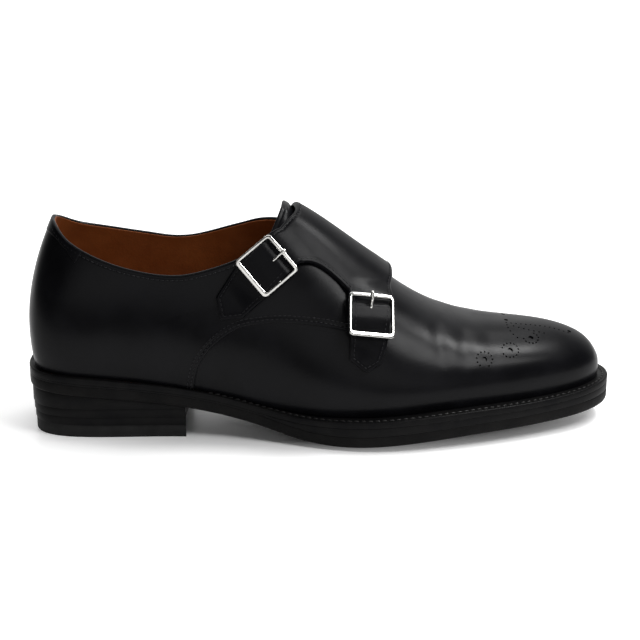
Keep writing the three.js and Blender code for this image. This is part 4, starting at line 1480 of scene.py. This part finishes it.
@dataclass
class Saddle:
    """The wide strap over the instep that ends in two pointed strap arms."""

    buckles: tuple[Buckle, Buckle]
    thick: float = 2.5
    gap: float = 0.3
    bridge: float = 2.3
    root_share: float = 0.3
    cell: float = 1.0
    row_inset: float = 2.1
    row_clear: float = 1.85
    row: StitchRow = field(default_factory=lambda: StitchRow(1.7, 0.7, 0.2, 0.07))
    rear: Spots = ((0.396, 0.705), (0.403, 0.655), (0.414, 0.58), (0.42, 0.5), (0.418, 0.43), (0.4, 0.356))
    front: Spots = ((0.557, 0.705), (0.56, 0.655), (0.563, 0.58), (0.5645, 0.5), (0.564, 0.43), (0.5605, 0.36))
    scallop: Spots = ((0.427, 0.286), (0.4385, 0.297), (0.452, 0.304), (0.468, 0.302), (0.485, 0.293),
                      (0.4995, 0.279))
    upper_left: Spots = ((0.371, 0.303), (0.343, 0.25), (0.3255, 0.213), (0.3145, 0.188))
    upper_right: Spots = ((0.4085, 0.25), (0.386, 0.212), (0.368, 0.186), (0.351, 0.162))
    upper_tip: tuple[float, float] = (0.3205, 0.15)
    lower_left: Spots = ((0.503, 0.24), (0.5035, 0.207), (0.5035, 0.173), (0.503, 0.14))
    lower_right: Spots = ((0.56, 0.303), (0.5585, 0.242), (0.556, 0.19), (0.5495, 0.145))
    lower_tip: tuple[float, float] = (0.527, 0.119)

    def outer_edge(self, s: Array) -> Array:
        """Edge of the saddle on the outer side: upper root, scallop, lower root.

        Args:
            s: parameters from the rear to the front.

        Returns:
            The (u, v) points.
        """
        a, b = uv_line(self.rear)(np.array([1.0]))[0], np.array(self.scallop[0])
        c, d = np.array(self.scallop[-1]), uv_line(self.front)(np.array([1.0]))[0]
        k = self.root_share
        out = uv_line(self.scallop)(np.clip((s - k) / (1 - 2 * k), 0, 1))
        low, high = s <= k, s >= 1 - k
        out[low] = straight(a, b)(s[low] / k)
        out[high] = straight(c, d)((s[high] - 1 + k) / k)
        return out

    def steps(self) -> tuple[Array, int]:
        """Parameters along the outer edge and the number of cells of a root.

        Returns:
            The parameters and the number of those in a root.
        """
        root = graded(19, self.cell)
        mid = graded(23, self.cell)
        k = self.root_share
        s = np.concatenate([root * k, (k + mid * (1 - 2 * k))[1:-1], 1 - k + root * k])
        return s, len(root)

    def grids(self) -> list[Array]:
        """The (u, v) grids of the saddle's body and its two arms.

        Returns:
            Body, upper arm and lower arm.
        """
        s, n = self.steps()
        t = graded(105, self.cell, low=False, high=False)
        body = coons(straight(np.array(self.rear[0]), np.array(self.front[0])), self.outer_edge,
                     uv_line(self.rear), uv_line(self.front), s, t)
        root = graded(19, self.cell)
        arms = []
        for first, left, right, tip in (
                (body[-1][:n], self.upper_left, self.upper_right, self.upper_tip),
                (body[-1][-n:], self.lower_left, self.lower_right, self.lower_tip)):
            edge_a = uv_line((tuple(first[0]),) + left)
            edge_b = uv_line((tuple(first[-1]),) + right)
            rows = [first]
            for tt in np.linspace(0, 1, 44)[1:]:
                a, b = edge_a(np.array([tt]))[0], edge_b(np.array([tt]))[0]
                rows.append(straight(a, b)(root))
            flat, point = rows[-1], np.array(tip)
            corner = np.where(root[:, None] < 0.5, flat[0], flat[-1])
            share = (1 - np.abs(2 * root - 1))[:, None]
            vee = corner + (point - corner) * share
            for tt in graded(9, 0.9, low=False)[1:]:
                rows.append(flat + (vee - flat) * tt)
            arms.append(np.stack(rows))
        return [body, *arms]

    def stand_off(self, u: Array, v: Array) -> Array:
        """Height of the saddle's underside over the last.

        Args:
            u: positions from heel to toe.
            v: positions across.

        Returns:
            The heights, mm.
        """
        over = smoothstep(0.27, 0.42, v) * (1 - smoothstep(0.56, 0.65, v))
        bridge = (self.bridge * smoothstep(0.44, 0.57, u) + 2.5 * smoothstep(0.53, 0.42, u)) * over
        return self.gap + bridge - 0.8 * smoothstep(0.645, 0.70, v)

    def full(self, v: Array) -> Array:
        """Thickness, skived away where the saddle grows out of the inner quarter."""
        return self.thick * (1 - 0.5 * smoothstep(0.585, 0.66, v)) - 0.9 * smoothstep(0.63, 0.70, v)

    def over_bars(self, points: Array) -> Array:
        """Extra lift where the leather rides over a buckle's centre bar.

        Args:
            points: points of the strap's face.

        Returns:
            The lift at each point, mm.
        """
        lift = np.zeros(points.shape[:-1])
        for buckle in self.buckles:
            q = buckle.local(points)
            wide = 13.5 + 10.0 * smoothstep(8, 17, q[..., 1])
            near = smoothstep(wide, 10.5, np.abs(q[..., 0])) * smoothstep(14, 9, np.abs(q[..., 2]))
            near = near * smoothstep(22, 7, q[..., 1]) * smoothstep(-23.0, -8.5, q[..., 1])
            pillow = 1.55 * smoothstep(9.5, 4.0, q[..., 1]) * smoothstep(-10.5, 0.5, q[..., 1])
            lift += near * (pillow - 0.5 - q[..., 2])
        return lift

    def build(self) -> None:
        """Makes the saddle with its arms, and its stitches."""
        grids = self.grids()
        body, upper, lower = grids
        s, n = self.steps()
        border_uv = [body[:, 0], body[:, -1], body[-1][n - 1:len(s) - n + 1], upper[:, 0], upper[:, -1], upper[-1],
                     lower[:, 0], lower[:, -1], lower[-1]]
        skirts = []
        for uv in border_uv:
            u, v = uv[..., 0], uv[..., 1]
            skirts.append(densify(LAST.lifted(u, v, self.stand_off(u, v) + self.full(v)), BORDER_GAP))
        border = np.concatenate(skirts)
        draft = MeshDraft()
        tops, unders = [], []
        for grid in grids:
            u, v = grid[..., 0], grid[..., 1]
            away, base = LAST.normals(u, v), LAST.points(u, v)
            low, high = self.stand_off(u, v), self.full(v)
            d = nearest(base + away * (low + high)[..., None], border)
            skived = smoothstep(0.68, 0.64, v)
            height = low + high * (1 - (1 - turned_edge(d, 1.15)) * skived)
            height -= 0.20 * bell(d, self.row_inset, 0.42) * skived
            lift = self.over_bars(base + away * height[..., None])
            tops.append(draft.add_points(base + away * (height + lift)[..., None]))
            unders.append(draft.add_points(base + away * (low + lift * 0.9)[..., None]))
        for a, b in zip(tops, unders):
            draft.add_quads(a)
            draft.add_quads(b, flip=True)
        walls = [(tops[0][:, 0], unders[0][:, 0]), (unders[0][:, -1], tops[0][:, -1]), (unders[0][0], tops[0][0]),
                 (tops[0][-1][n - 1:len(s) - n + 1], unders[0][-1][n - 1:len(s) - n + 1])]
        for k in (1, 2):
            walls += [(tops[k][:, 0], unders[k][:, 0]), (unders[k][:, -1], tops[k][:, -1]),
                      (tops[k][-1], unders[k][-1])]
        for a, b in walls:
            draft.add_quads(np.stack([a, b]))
        seat_piece(draft.build("saddle_with_arms"), STRAP_CALF, ("saddle_strap",))
        self.stitches(body, upper, lower, n, len(s))

    def stitches(self, body: Array, upper: Array, lower: Array, n: int, count: int) -> None:
        """Row of stitches two millimetres inside the saddle's whole edge.

        Args:
            body: (u, v) grid of the saddle's body.
            upper: grid of the upper arm.
            lower: grid of the lower arm.
            n: columns of an arm.
            count: columns of the body.
        """
        loop = np.concatenate([
            body[:, 0], upper[1:, 0], upper[-1][1:], upper[::-1, -1][1:],
            body[-1][n:count - n], lower[:, 0], lower[-1][1:], lower[::-1, -1][1:], body[::-1, -1][1:]])
        u, v = loop[:, 0], loop[:, 1]
        off = self.stand_off(u, v) + self.full(v)
        p, normal = on_surface(loop, off)
        run = run_along(p)
        even = np.arange(0, run[-1], 0.5)
        p, normal = read_at(even, run, p), unit(read_at(even, run, normal))
        along = unit(np.gradient(p, axis=0))
        smooth = np.stack([np.convolve(along[:, k], np.ones(5) / 5, mode="same") for k in range(3)], 1)
        inward = unit(np.cross(unit(smooth), normal))
        middle = LAST.points(np.array([0.49]), np.array([0.45]))[0]
        if ((middle - p[40]) @ inward[40]) < 0:
            inward = -inward
        inside = p + inward * self.row_inset
        inside += normal * self.over_bars(inside)[:, None]
        keep = nearest(inside, p) > self.row_clear
        keep &= v[np.clip(np.searchsorted(run, even), 0, len(v) - 1)] < 0.64
        draft = MeshDraft()
        starts = np.flatnonzero(np.diff(np.concatenate([[0], keep.astype(int), [0]])))
        for a, b in zip(starts[::2], starts[1::2]):
            if b - a > 12:
                self.row.add_to(draft, inside[a:b] - normal[a:b] * 0.04, normal[a:b])
        seat_piece(draft.build("saddle_stitches", sharp=80), THREAD)


# ---------------------------------------------------------------- bottom of the shoe


@dataclass
class Bottoming:
    """Welt, midsole, outsole, insole and the stacked heel."""

    welt: float = 3.2
    outsole: float = 5.8
    gap: float = 0.3
    top_piece: float = 6.3
    lift: float = 4.5
    breast: float = 83.0
    bow: float = 2.5
    insole_above: float = 1.8
    stitch_in: float = 2.6
    soft: float = 0.10
    joint: float = 0.22
    stations: int = 150
    heel_side: int = 60
    heel_front: int = 31
    margin_x: tuple[float, ...] = (0, 37, 87, 117, 147, 182, 227, 267, 306)
    margin_out: tuple[float, ...] = (3.0, 3.0, 2.8, 3.2, 5.6, 7.6, 7.5, 6.4, 5.2)

    def margin(self, x: Array) -> Array:
        """How far the sole's edge stands outside the feather edge."""
        return through(self.margin_x, self.margin_out, x)

    def mid_thickness(self, x: Array) -> Array:
        """Thickness of the midsole."""
        return LAST.stack(x) - self.welt - self.outsole

    def loop(self, inset: float, out: Offset | None = None) -> Array:
        """Closed outline of the sole, set in by inset.

        Args:
            inset: distance inside the edge, mm.
            out: distance outside the feather edge instead of the margin.

        Returns:
            The (x, y) points.
        """
        us = 0.5 - 0.5 * np.cos(np.linspace(0, math.pi, self.stations))
        shift = out or (lambda x: self.margin(x) - inset)
        return np.concatenate([LAST.edge(us, -1, shift), LAST.edge(us, 1, shift)[1:-1][::-1]])

    def cap(self, loop: Array, across: int = 25) -> tuple[Array, Array]:
        """Grid of plan points that fills an outline, with its across values.

        Args:
            loop: closed outline of (x, y) points.
            across: number of columns.

        Returns:
            The points, and -1 to 1 across the sole for each.
        """
        n = (len(loop) + 2) // 2
        lat, med = loop[:n], np.concatenate([loop[:1], loop[n:][::-1], loop[n - 1:n]])
        a = np.sin(np.linspace(-0.5, 0.5, across) * math.pi)
        k = (a + 1) / 2
        t = np.linspace(0, 1, n)
        mean = (lat[:, 0] + med[:, 0]) / 2
        spread = mean[0] + (mean[-1] - mean[0]) * t * 0.5 + 0.5 * (mean - mean[0])
        plan = lat[:, None] + (med - lat)[:, None] * k[None, :, None]
        inside = 1 - a * a
        ends = smoothstep(0, 0.25, t) * smoothstep(1, 0.75, t)
        shift = (spread - mean) * (1 - ends)
        shift[[0, -1]] = 0
        plan[..., 0] += shift[:, None] * inside[None]
        acr = np.broadcast_to(a, plan.shape[:2]).copy()
        acr[[0, -1]] = 1.0
        return plan, acr

    def plate(self, name: str, finish: Finish, profile: Sequence[tuple[float, float]], top: Offset, under: Offset,
              crown: bool = False, replaces: Sequence[str] = (), out: Offset | None = None) -> None:
        """Plate with a shaped edge.

        Args:
            name: name of the piece.
            finish: its finish.
            profile: pairs of inset in mm and height share, from the top's rim to the underside's rim.
            top: height of the upper face over x.
            under: height of the lower face over x.
            crown: whether the underside hangs lower in the middle.
            replaces: CAD nodes that it stands for.
            out: outline's distance outside the feather edge instead of the sole's margin.
        """
        base = out or self.margin
        draft = MeshDraft()
        rings = []
        for inset, share in profile:
            loop = self.loop(0, lambda x, k=inset: base(x) - k)
            z = under(loop[:, 0]) + (top(loop[:, 0]) - under(loop[:, 0])) * share
            rings.append(np.concatenate([loop, z[:, None]], 1))
        draft.band(np.stack(rings))
        for loop, level, flip in ((rings[0], top, False), (rings[-1], under, True)):
            plan, across = self.cap(loop[:, :2])
            z = level(plan[..., 0])
            if crown and flip:
                z = np.maximum(z - LAST.crown(plan[..., 0]) * (1 - np.abs(across) ** 3), 0.0)
            draft.add_quads(draft.add_points(np.concatenate([plan, z[..., None]], -1)), flip=not flip)
        seat_piece(draft.build(name, sharp=45, weld=2e-6), finish, replaces)

    def welt_ring(self) -> None:
        """Welt: a ring with a wheeled top, a trimmed edge and a dark inner wall."""
        us = 0.5 - 0.5 * np.cos(np.linspace(0, math.pi, 260))
        draft = MeshDraft()
        rings = []
        inside = lambda x: np.full(np.shape(x), -3.2)
        for out, drop in ((None, 0.0), (5.2, 0.0), (3.4, 0.12), (2.3, 0.16), (1.6, 0.05), (1.0, -0.06), (0.5, -0.06),
                          (0.16, 0.1), (0.0, 0.4), (0.0, 2.9), (0.04, 3.12), (0.14, self.welt)):
            shift = inside if out is None else (
                lambda x, k=out: np.maximum(self.margin(x) - k, -3.0 + 0.02 * (6 - k)))
            loop = np.concatenate([LAST.edge(us, -1, shift), LAST.edge(us, 1, shift)[1:-1][::-1]])
            rings.append(np.concatenate([loop, (LAST.seat(loop[:, 0]) - drop)[:, None]], 1))
        inner = rings[0].copy()
        inner[:, 2] -= self.welt
        rings.append(inner)
        draft.ring(np.stack(rings))
        seat_piece(draft.build("welt_ring", sharp=50), EDGE, ("welt",))
        stitch = StitchRow(2.6, 0.9, 0.36, 0.12)
        threads = MeshDraft()
        us = np.linspace(0.30, 1.0, 900)
        lat, med = (LAST.edge(us, side, lambda x: self.margin(x) - self.stitch_in) for side in (-1, 1))
        path = np.concatenate([lat, med[::-1][1:]])
        path = np.concatenate([path, (LAST.seat(path[:, 0]) - 0.10)[:, None]], 1)
        stitch.add_to(threads, path, np.broadcast_to(np.array([0.0, 0.0, 1.0]), path.shape))
        seat_piece(threads.build("welt_stitches", sharp=80), WELT_THREAD)

    def heel_rows(self, inset: float) -> Array:
        """Closed outline of a heel layer with its hollow breast.

        Args:
            inset: distance inside the sole's edge, mm.

        Returns:
            The (x, y) points.
        """
        out = lambda x: self.margin(x) - inset
        sides = []
        for side in (-1, 1):
            us = np.linspace(0, 0.5, 2400)
            p = LAST.edge(us, side, out)
            end = us[np.searchsorted(p[:, 0], self.breast)]
            q = LAST.edge(end * np.linspace(0, 1, self.heel_side) ** 2, side, out)
            q[-1, 0] = self.breast
            sides.append(q)
        a, b = sides[0][-1], sides[1][-1]
        k = np.linspace(-1, 1, self.heel_front)[1:-1]
        front = np.stack([self.breast - self.bow * (1 - k * k), a[1] + (b[1] - a[1]) * (k + 1) / 2], -1)
        return np.concatenate([sides[0], front, sides[1][::-1][:-1]])

    def heel_layer(self, name: str, inset: float, low: float, high: Offset, finish: Finish, replaces: str) -> None:
        """One layer of the heel, with softened rims.

        Args:
            name: name of the piece.
            inset: distance inside the sole's edge, mm.
            low: height of its underside.
            high: height of its top over x.
            finish: its finish.
            replaces: CAD node that it stands for.
        """
        draft, rings = MeshDraft(), []
        soft, n = self.soft, self.heel_side
        for extra, share, drop in ((soft * 2.2, 1, 0), (soft * 0.5, 1, soft * 0.4), (0, 1, soft * 1.4),
                                   (0, 0, -soft * 1.4), (soft * 0.5, 0, -soft * 0.4), (soft * 2.2, 0, 0)):
            loop = self.heel_rows(inset + extra)
            top = high(loop[:, 0])
            z = low + (top - low) * share - drop
            rings.append(np.concatenate([loop, z[:, None]], 1))
        draft.band(np.stack(rings))
        for ring, upper in ((rings[0], True), (rings[-1], False)):
            lat, med = ring[:n], np.concatenate([ring[:1], ring[-(n - 1):][::-1]])
            k = np.linspace(0, 1, self.heel_front)
            plan = lat[:, None] + (med - lat)[:, None] * k[None, :, None]
            t = np.linspace(0, 1, n)[:, None]
            across = 2 * k[None] - 1
            plan[..., 0] -= self.bow * (1 - across**2) * t**6
            plan[-1] = ring[n - 1:n - 1 + self.heel_front]
            if upper:
                plan[..., 2] = high(plan[..., 0])
            draft.add_quads(draft.add_points(plan), flip=not upper)
        seat_piece(draft.build(name, sharp=45, weld=2e-6), finish, (replaces,))

    def build(self) -> None:
        """Makes every piece of the bottom."""
        x = LAST
        round_edge = ((0.9, 1.0), (0.14, 1.0), (0.04, 0.98), (0.0, 0.95),
                      (0.0, 0.05), (0.04, 0.02), (0.14, 0.0), (0.9, 0.0))
        mid_low = lambda p: x.seat(p) - self.welt - self.mid_thickness(p)
        flat = lambda z: (lambda p: np.full(np.shape(p), z))
        self.welt_ring()
        self.plate("midsole_edge", EDGE, round_edge, lambda p: x.seat(p) - self.welt - 0.04,
                   lambda p: mid_low(p) - 0.1, replaces=("midsole",))
        sole_edge = ((0.9, 1.0), (0.14, 1.0), (0.04, 0.985), (0.0, 0.965), (0.0, 0.26),
                     (0.1, 0.15), (0.4, 0.05), (0.95, 0.008), (1.7, 0.0))
        self.plate("outsole_tread", TREAD, sole_edge, lambda p: mid_low(p) - 0.14, x.edge_rise, crown=True,
                   replaces=("outsole",))
        self.plate("insole_sock", SOCK, ((0.6, 1.0), (0.1, 0.93), (0.0, 0.8), (0.0, 0.0)),
                   lambda p: x.seat(p) + self.insole_above, lambda p: x.seat(p) - self.welt + 0.1,
                   replaces=("insole",), out=flat(-3.4))
        lift_1 = self.top_piece + self.gap
        lift_2, wedge = lift_1 + self.lift, lift_1 + 2 * self.lift
        self.heel_layer("heel_top_piece", 2.2, 0.0, flat(self.top_piece), RUBBER, "top_piece")
        self.heel_layer("heel_first_lift", 1.8, lift_1 - self.joint, flat(lift_2 - self.gap), EDGE, "heel_lift_1")
        self.heel_layer("heel_second_lift", 1.4, lift_2 - self.joint, flat(wedge - self.gap), EDGE, "heel_lift_2")
        self.heel_layer("heel_seat_wedge", 1.0, wedge - self.joint, lambda p: x.edge_rise(p) - 0.05, EDGE,
                        "heel_wedge")


# ---------------------------------------------------------------- studio


@dataclass
class Studio:
    """Pale floor, white surroundings, soft lamps and the camera."""

    target: tuple[float, float, float] = (-0.809, 2.324, 53.0)
    distance: float = 727.0
    turn: float = -1.0
    height: float = 16.2
    lens: float = 77.7

    def floor(self) -> None:
        """Pale floor with a painted glow that fades to nothing under the sole, which paints a deeper contact shadow
        there.
        """
        mesh = bpy.data.meshes.new("floor")
        ring = [(1.4 * math.cos(a), 1.2 + 1.41 * math.sin(a), 0.0) for a in np.linspace(0, 2 * math.pi, 97)[:-1]]
        mesh.from_pydata(ring, [], [tuple(range(len(ring)))])
        obj = bpy.data.objects.new("floor", mesh)
        bpy.context.scene.collection.objects.link(obj)
        material = bpy.data.materials.new("Pale floor")
        material.use_nodes = True
        shader = material.node_tree.nodes["Principled BSDF"]
        shader.inputs["Base Color"].default_value = (0.93, 0.93, 0.93, 1)
        shader.inputs["Emission Color"].default_value = (1, 1, 1, 1)
        n = Nodes(material.node_tree)
        place = n.add("ShaderNodeTexCoord").outputs["Object"]
        away = n.add("ShaderNodeVectorMath", "distance from the shoe", operation="LENGTH")
        n.join(place, away.inputs[0])
        squeeze = n.add("ShaderNodeVectorMath", "shape of the sole", operation="MULTIPLY")
        squeeze.inputs[1].default_value = (0.48, 1.35, 1.0)
        n.join(place, squeeze.inputs[0])
        under = n.add("ShaderNodeVectorMath", "distance from the sole", operation="LENGTH")
        n.join(squeeze.outputs[0], under.inputs[0])
        # Painted shadow: the floor's glow falls to nothing in an oval under the sole, so the floor beneath the shoe
        # is darker than its cast shadow alone makes it. Further out the glow rises to keep the floor white.
        floor_glow_with_painted_shadow = n.maths("ADD", n.spread(away.outputs["Value"], 0.15, 0.9, 0.0, 0.75),
                       n.spread(under.outputs["Value"], 0.05, 0.082, 0.0, 0.35))
        # The floor glows fully only to the camera. Reflections and the light it throws on the shoe get 0.55 of the
        # glow.
        seen = n.spread(n.add("ShaderNodeLightPath").outputs["Is Camera Ray"], 0, 1, 0.55, 1.0)
        n.join(n.maths("MULTIPLY", floor_glow_with_painted_shadow, seen), shader.inputs["Emission Strength"])
        shader.inputs["Roughness"].default_value = 0.3
        shader.inputs["Specular IOR Level"].default_value = 0.4
        mesh.materials.append(material)

    def surroundings(self) -> None:
        """White backdrop for the camera and a soft grey room for reflections."""
        world = bpy.data.worlds.new("Studio room")
        bpy.context.scene.world = world
        world.use_nodes = True
        n = Nodes(world.node_tree)
        back = world.node_tree.nodes["Background"]
        back.inputs["Color"].default_value = (1, 1, 1, 1)
        path = n.add("ShaderNodeLightPath")
        way = n.add("ShaderNodeSeparateXYZ")
        n.join(n.add("ShaderNodeTexCoord").outputs["Generated"], way.inputs[0])
        behind = n.spread(way.outputs["Y"], 0.35, 0.9)
        level = n.maths("MULTIPLY", n.spread(way.outputs["Z"], 0.5, 0.85, 1.0, 0.3),
                        n.spread(way.outputs["Z"], 0.1, 0.5, 0.45, 1.0))
        front = n.spread(way.outputs["Y"], -0.70, -0.93)
        above = n.spread(way.outputs["Z"], -0.10, 0.10)
        room = n.maths("ADD", n.maths("MULTIPLY", n.maths("MULTIPLY", behind, level), 1.35),
                       n.maths("MULTIPLY", n.maths("MULTIPLY", front, above), 1.1))
        room = n.maths("ADD", room, 0.04)
        seen = n.maths("MULTIPLY", path.outputs["Is Camera Ray"], 1.3)
        n.join(n.maths("ADD", seen, room), back.inputs["Strength"])

    def lamp(self, name: str, place: tuple[float, float, float], aim: tuple[float, float, float],
             size: tuple[float, float], power: float) -> None:
        """Adds one rectangular soft lamp.

        Args:
            name: name of the lamp.
            place: where it hangs, m.
            aim: point that it faces, m.
            size: its two sides, m.
            power: watts.
        """
        data = bpy.data.lights.new(name, "AREA")
        data.shape = "RECTANGLE"
        data.size, data.size_y = size
        data.energy = power
        obj = bpy.data.objects.new(name, data)
        bpy.context.scene.collection.objects.link(obj)
        obj.location = place
        obj.rotation_euler = (Vector(aim) - Vector(place)).to_track_quat("-Z", "Y").to_euler()

    def camera(self) -> None:
        """Camera at the side of the shoe, a little above it."""
        data = bpy.data.cameras.new("camera")
        data.lens, data.sensor_width = self.lens, 36.0
        data.clip_start, data.clip_end = 0.05, 20.0
        obj = bpy.data.objects.new("camera", data)
        bpy.context.scene.collection.objects.link(obj)
        turn, height = math.radians(self.turn), math.radians(self.height)
        back = Vector((math.sin(turn) * math.cos(height), -math.cos(turn) * math.cos(height), math.sin(height)))
        target = Vector(self.target) * MM
        obj.location = target + back * self.distance * MM
        obj.rotation_euler = (-back).to_track_quat("-Z", "Y").to_euler()
        bpy.context.scene.camera = obj

    def build(self) -> None:
        """Sets up the whole studio."""
        self.camera()
        self.floor()
        self.surroundings()
        self.lamp("key_softbox", (0.385, 0.03, 0.63), (0.05, 0, 0.06), (0.17, 0.17), 2.4)
        self.lamp("side_softbox", (0.40, -0.30, 0.60), (0.05, 0, 0.06), (0.3, 0.3), 3.4)
        self.lamp("overhead_softbox", (-0.05, 0.45, 1.15), (0, 0.0, 0.04), (1.4, 0.6), 8)
        view = bpy.context.scene.view_settings
        view.view_transform = "Standard"


# Height of the upper buckle's frame over the last, and how much higher the lower one stands, mm.
BUCKLE_RISE, LOWER_EXTRA = 4.1, 0.6


def main() -> None:
    """Builds the shoe and its studio in order."""
    logging.basicConfig(level=logging.INFO, format="%(name)s: %(message)s")
    studio = Studio()
    studio.build()
    Bottoming().build()
    Upper().build()
    upper_buckle = Buckle("upper", (0.3836, 0.259), (0.4125, 0.31), BUCKLE_RISE)
    lower_buckle = Buckle("lower", (0.5308, 0.239), (0.5298, 0.33), BUCKLE_RISE + LOWER_EXTRA)
    Saddle((upper_buckle, lower_buckle)).build()
    upper_buckle.build()
    lower_buckle.build()


if __name__ == "__main__":
    main()
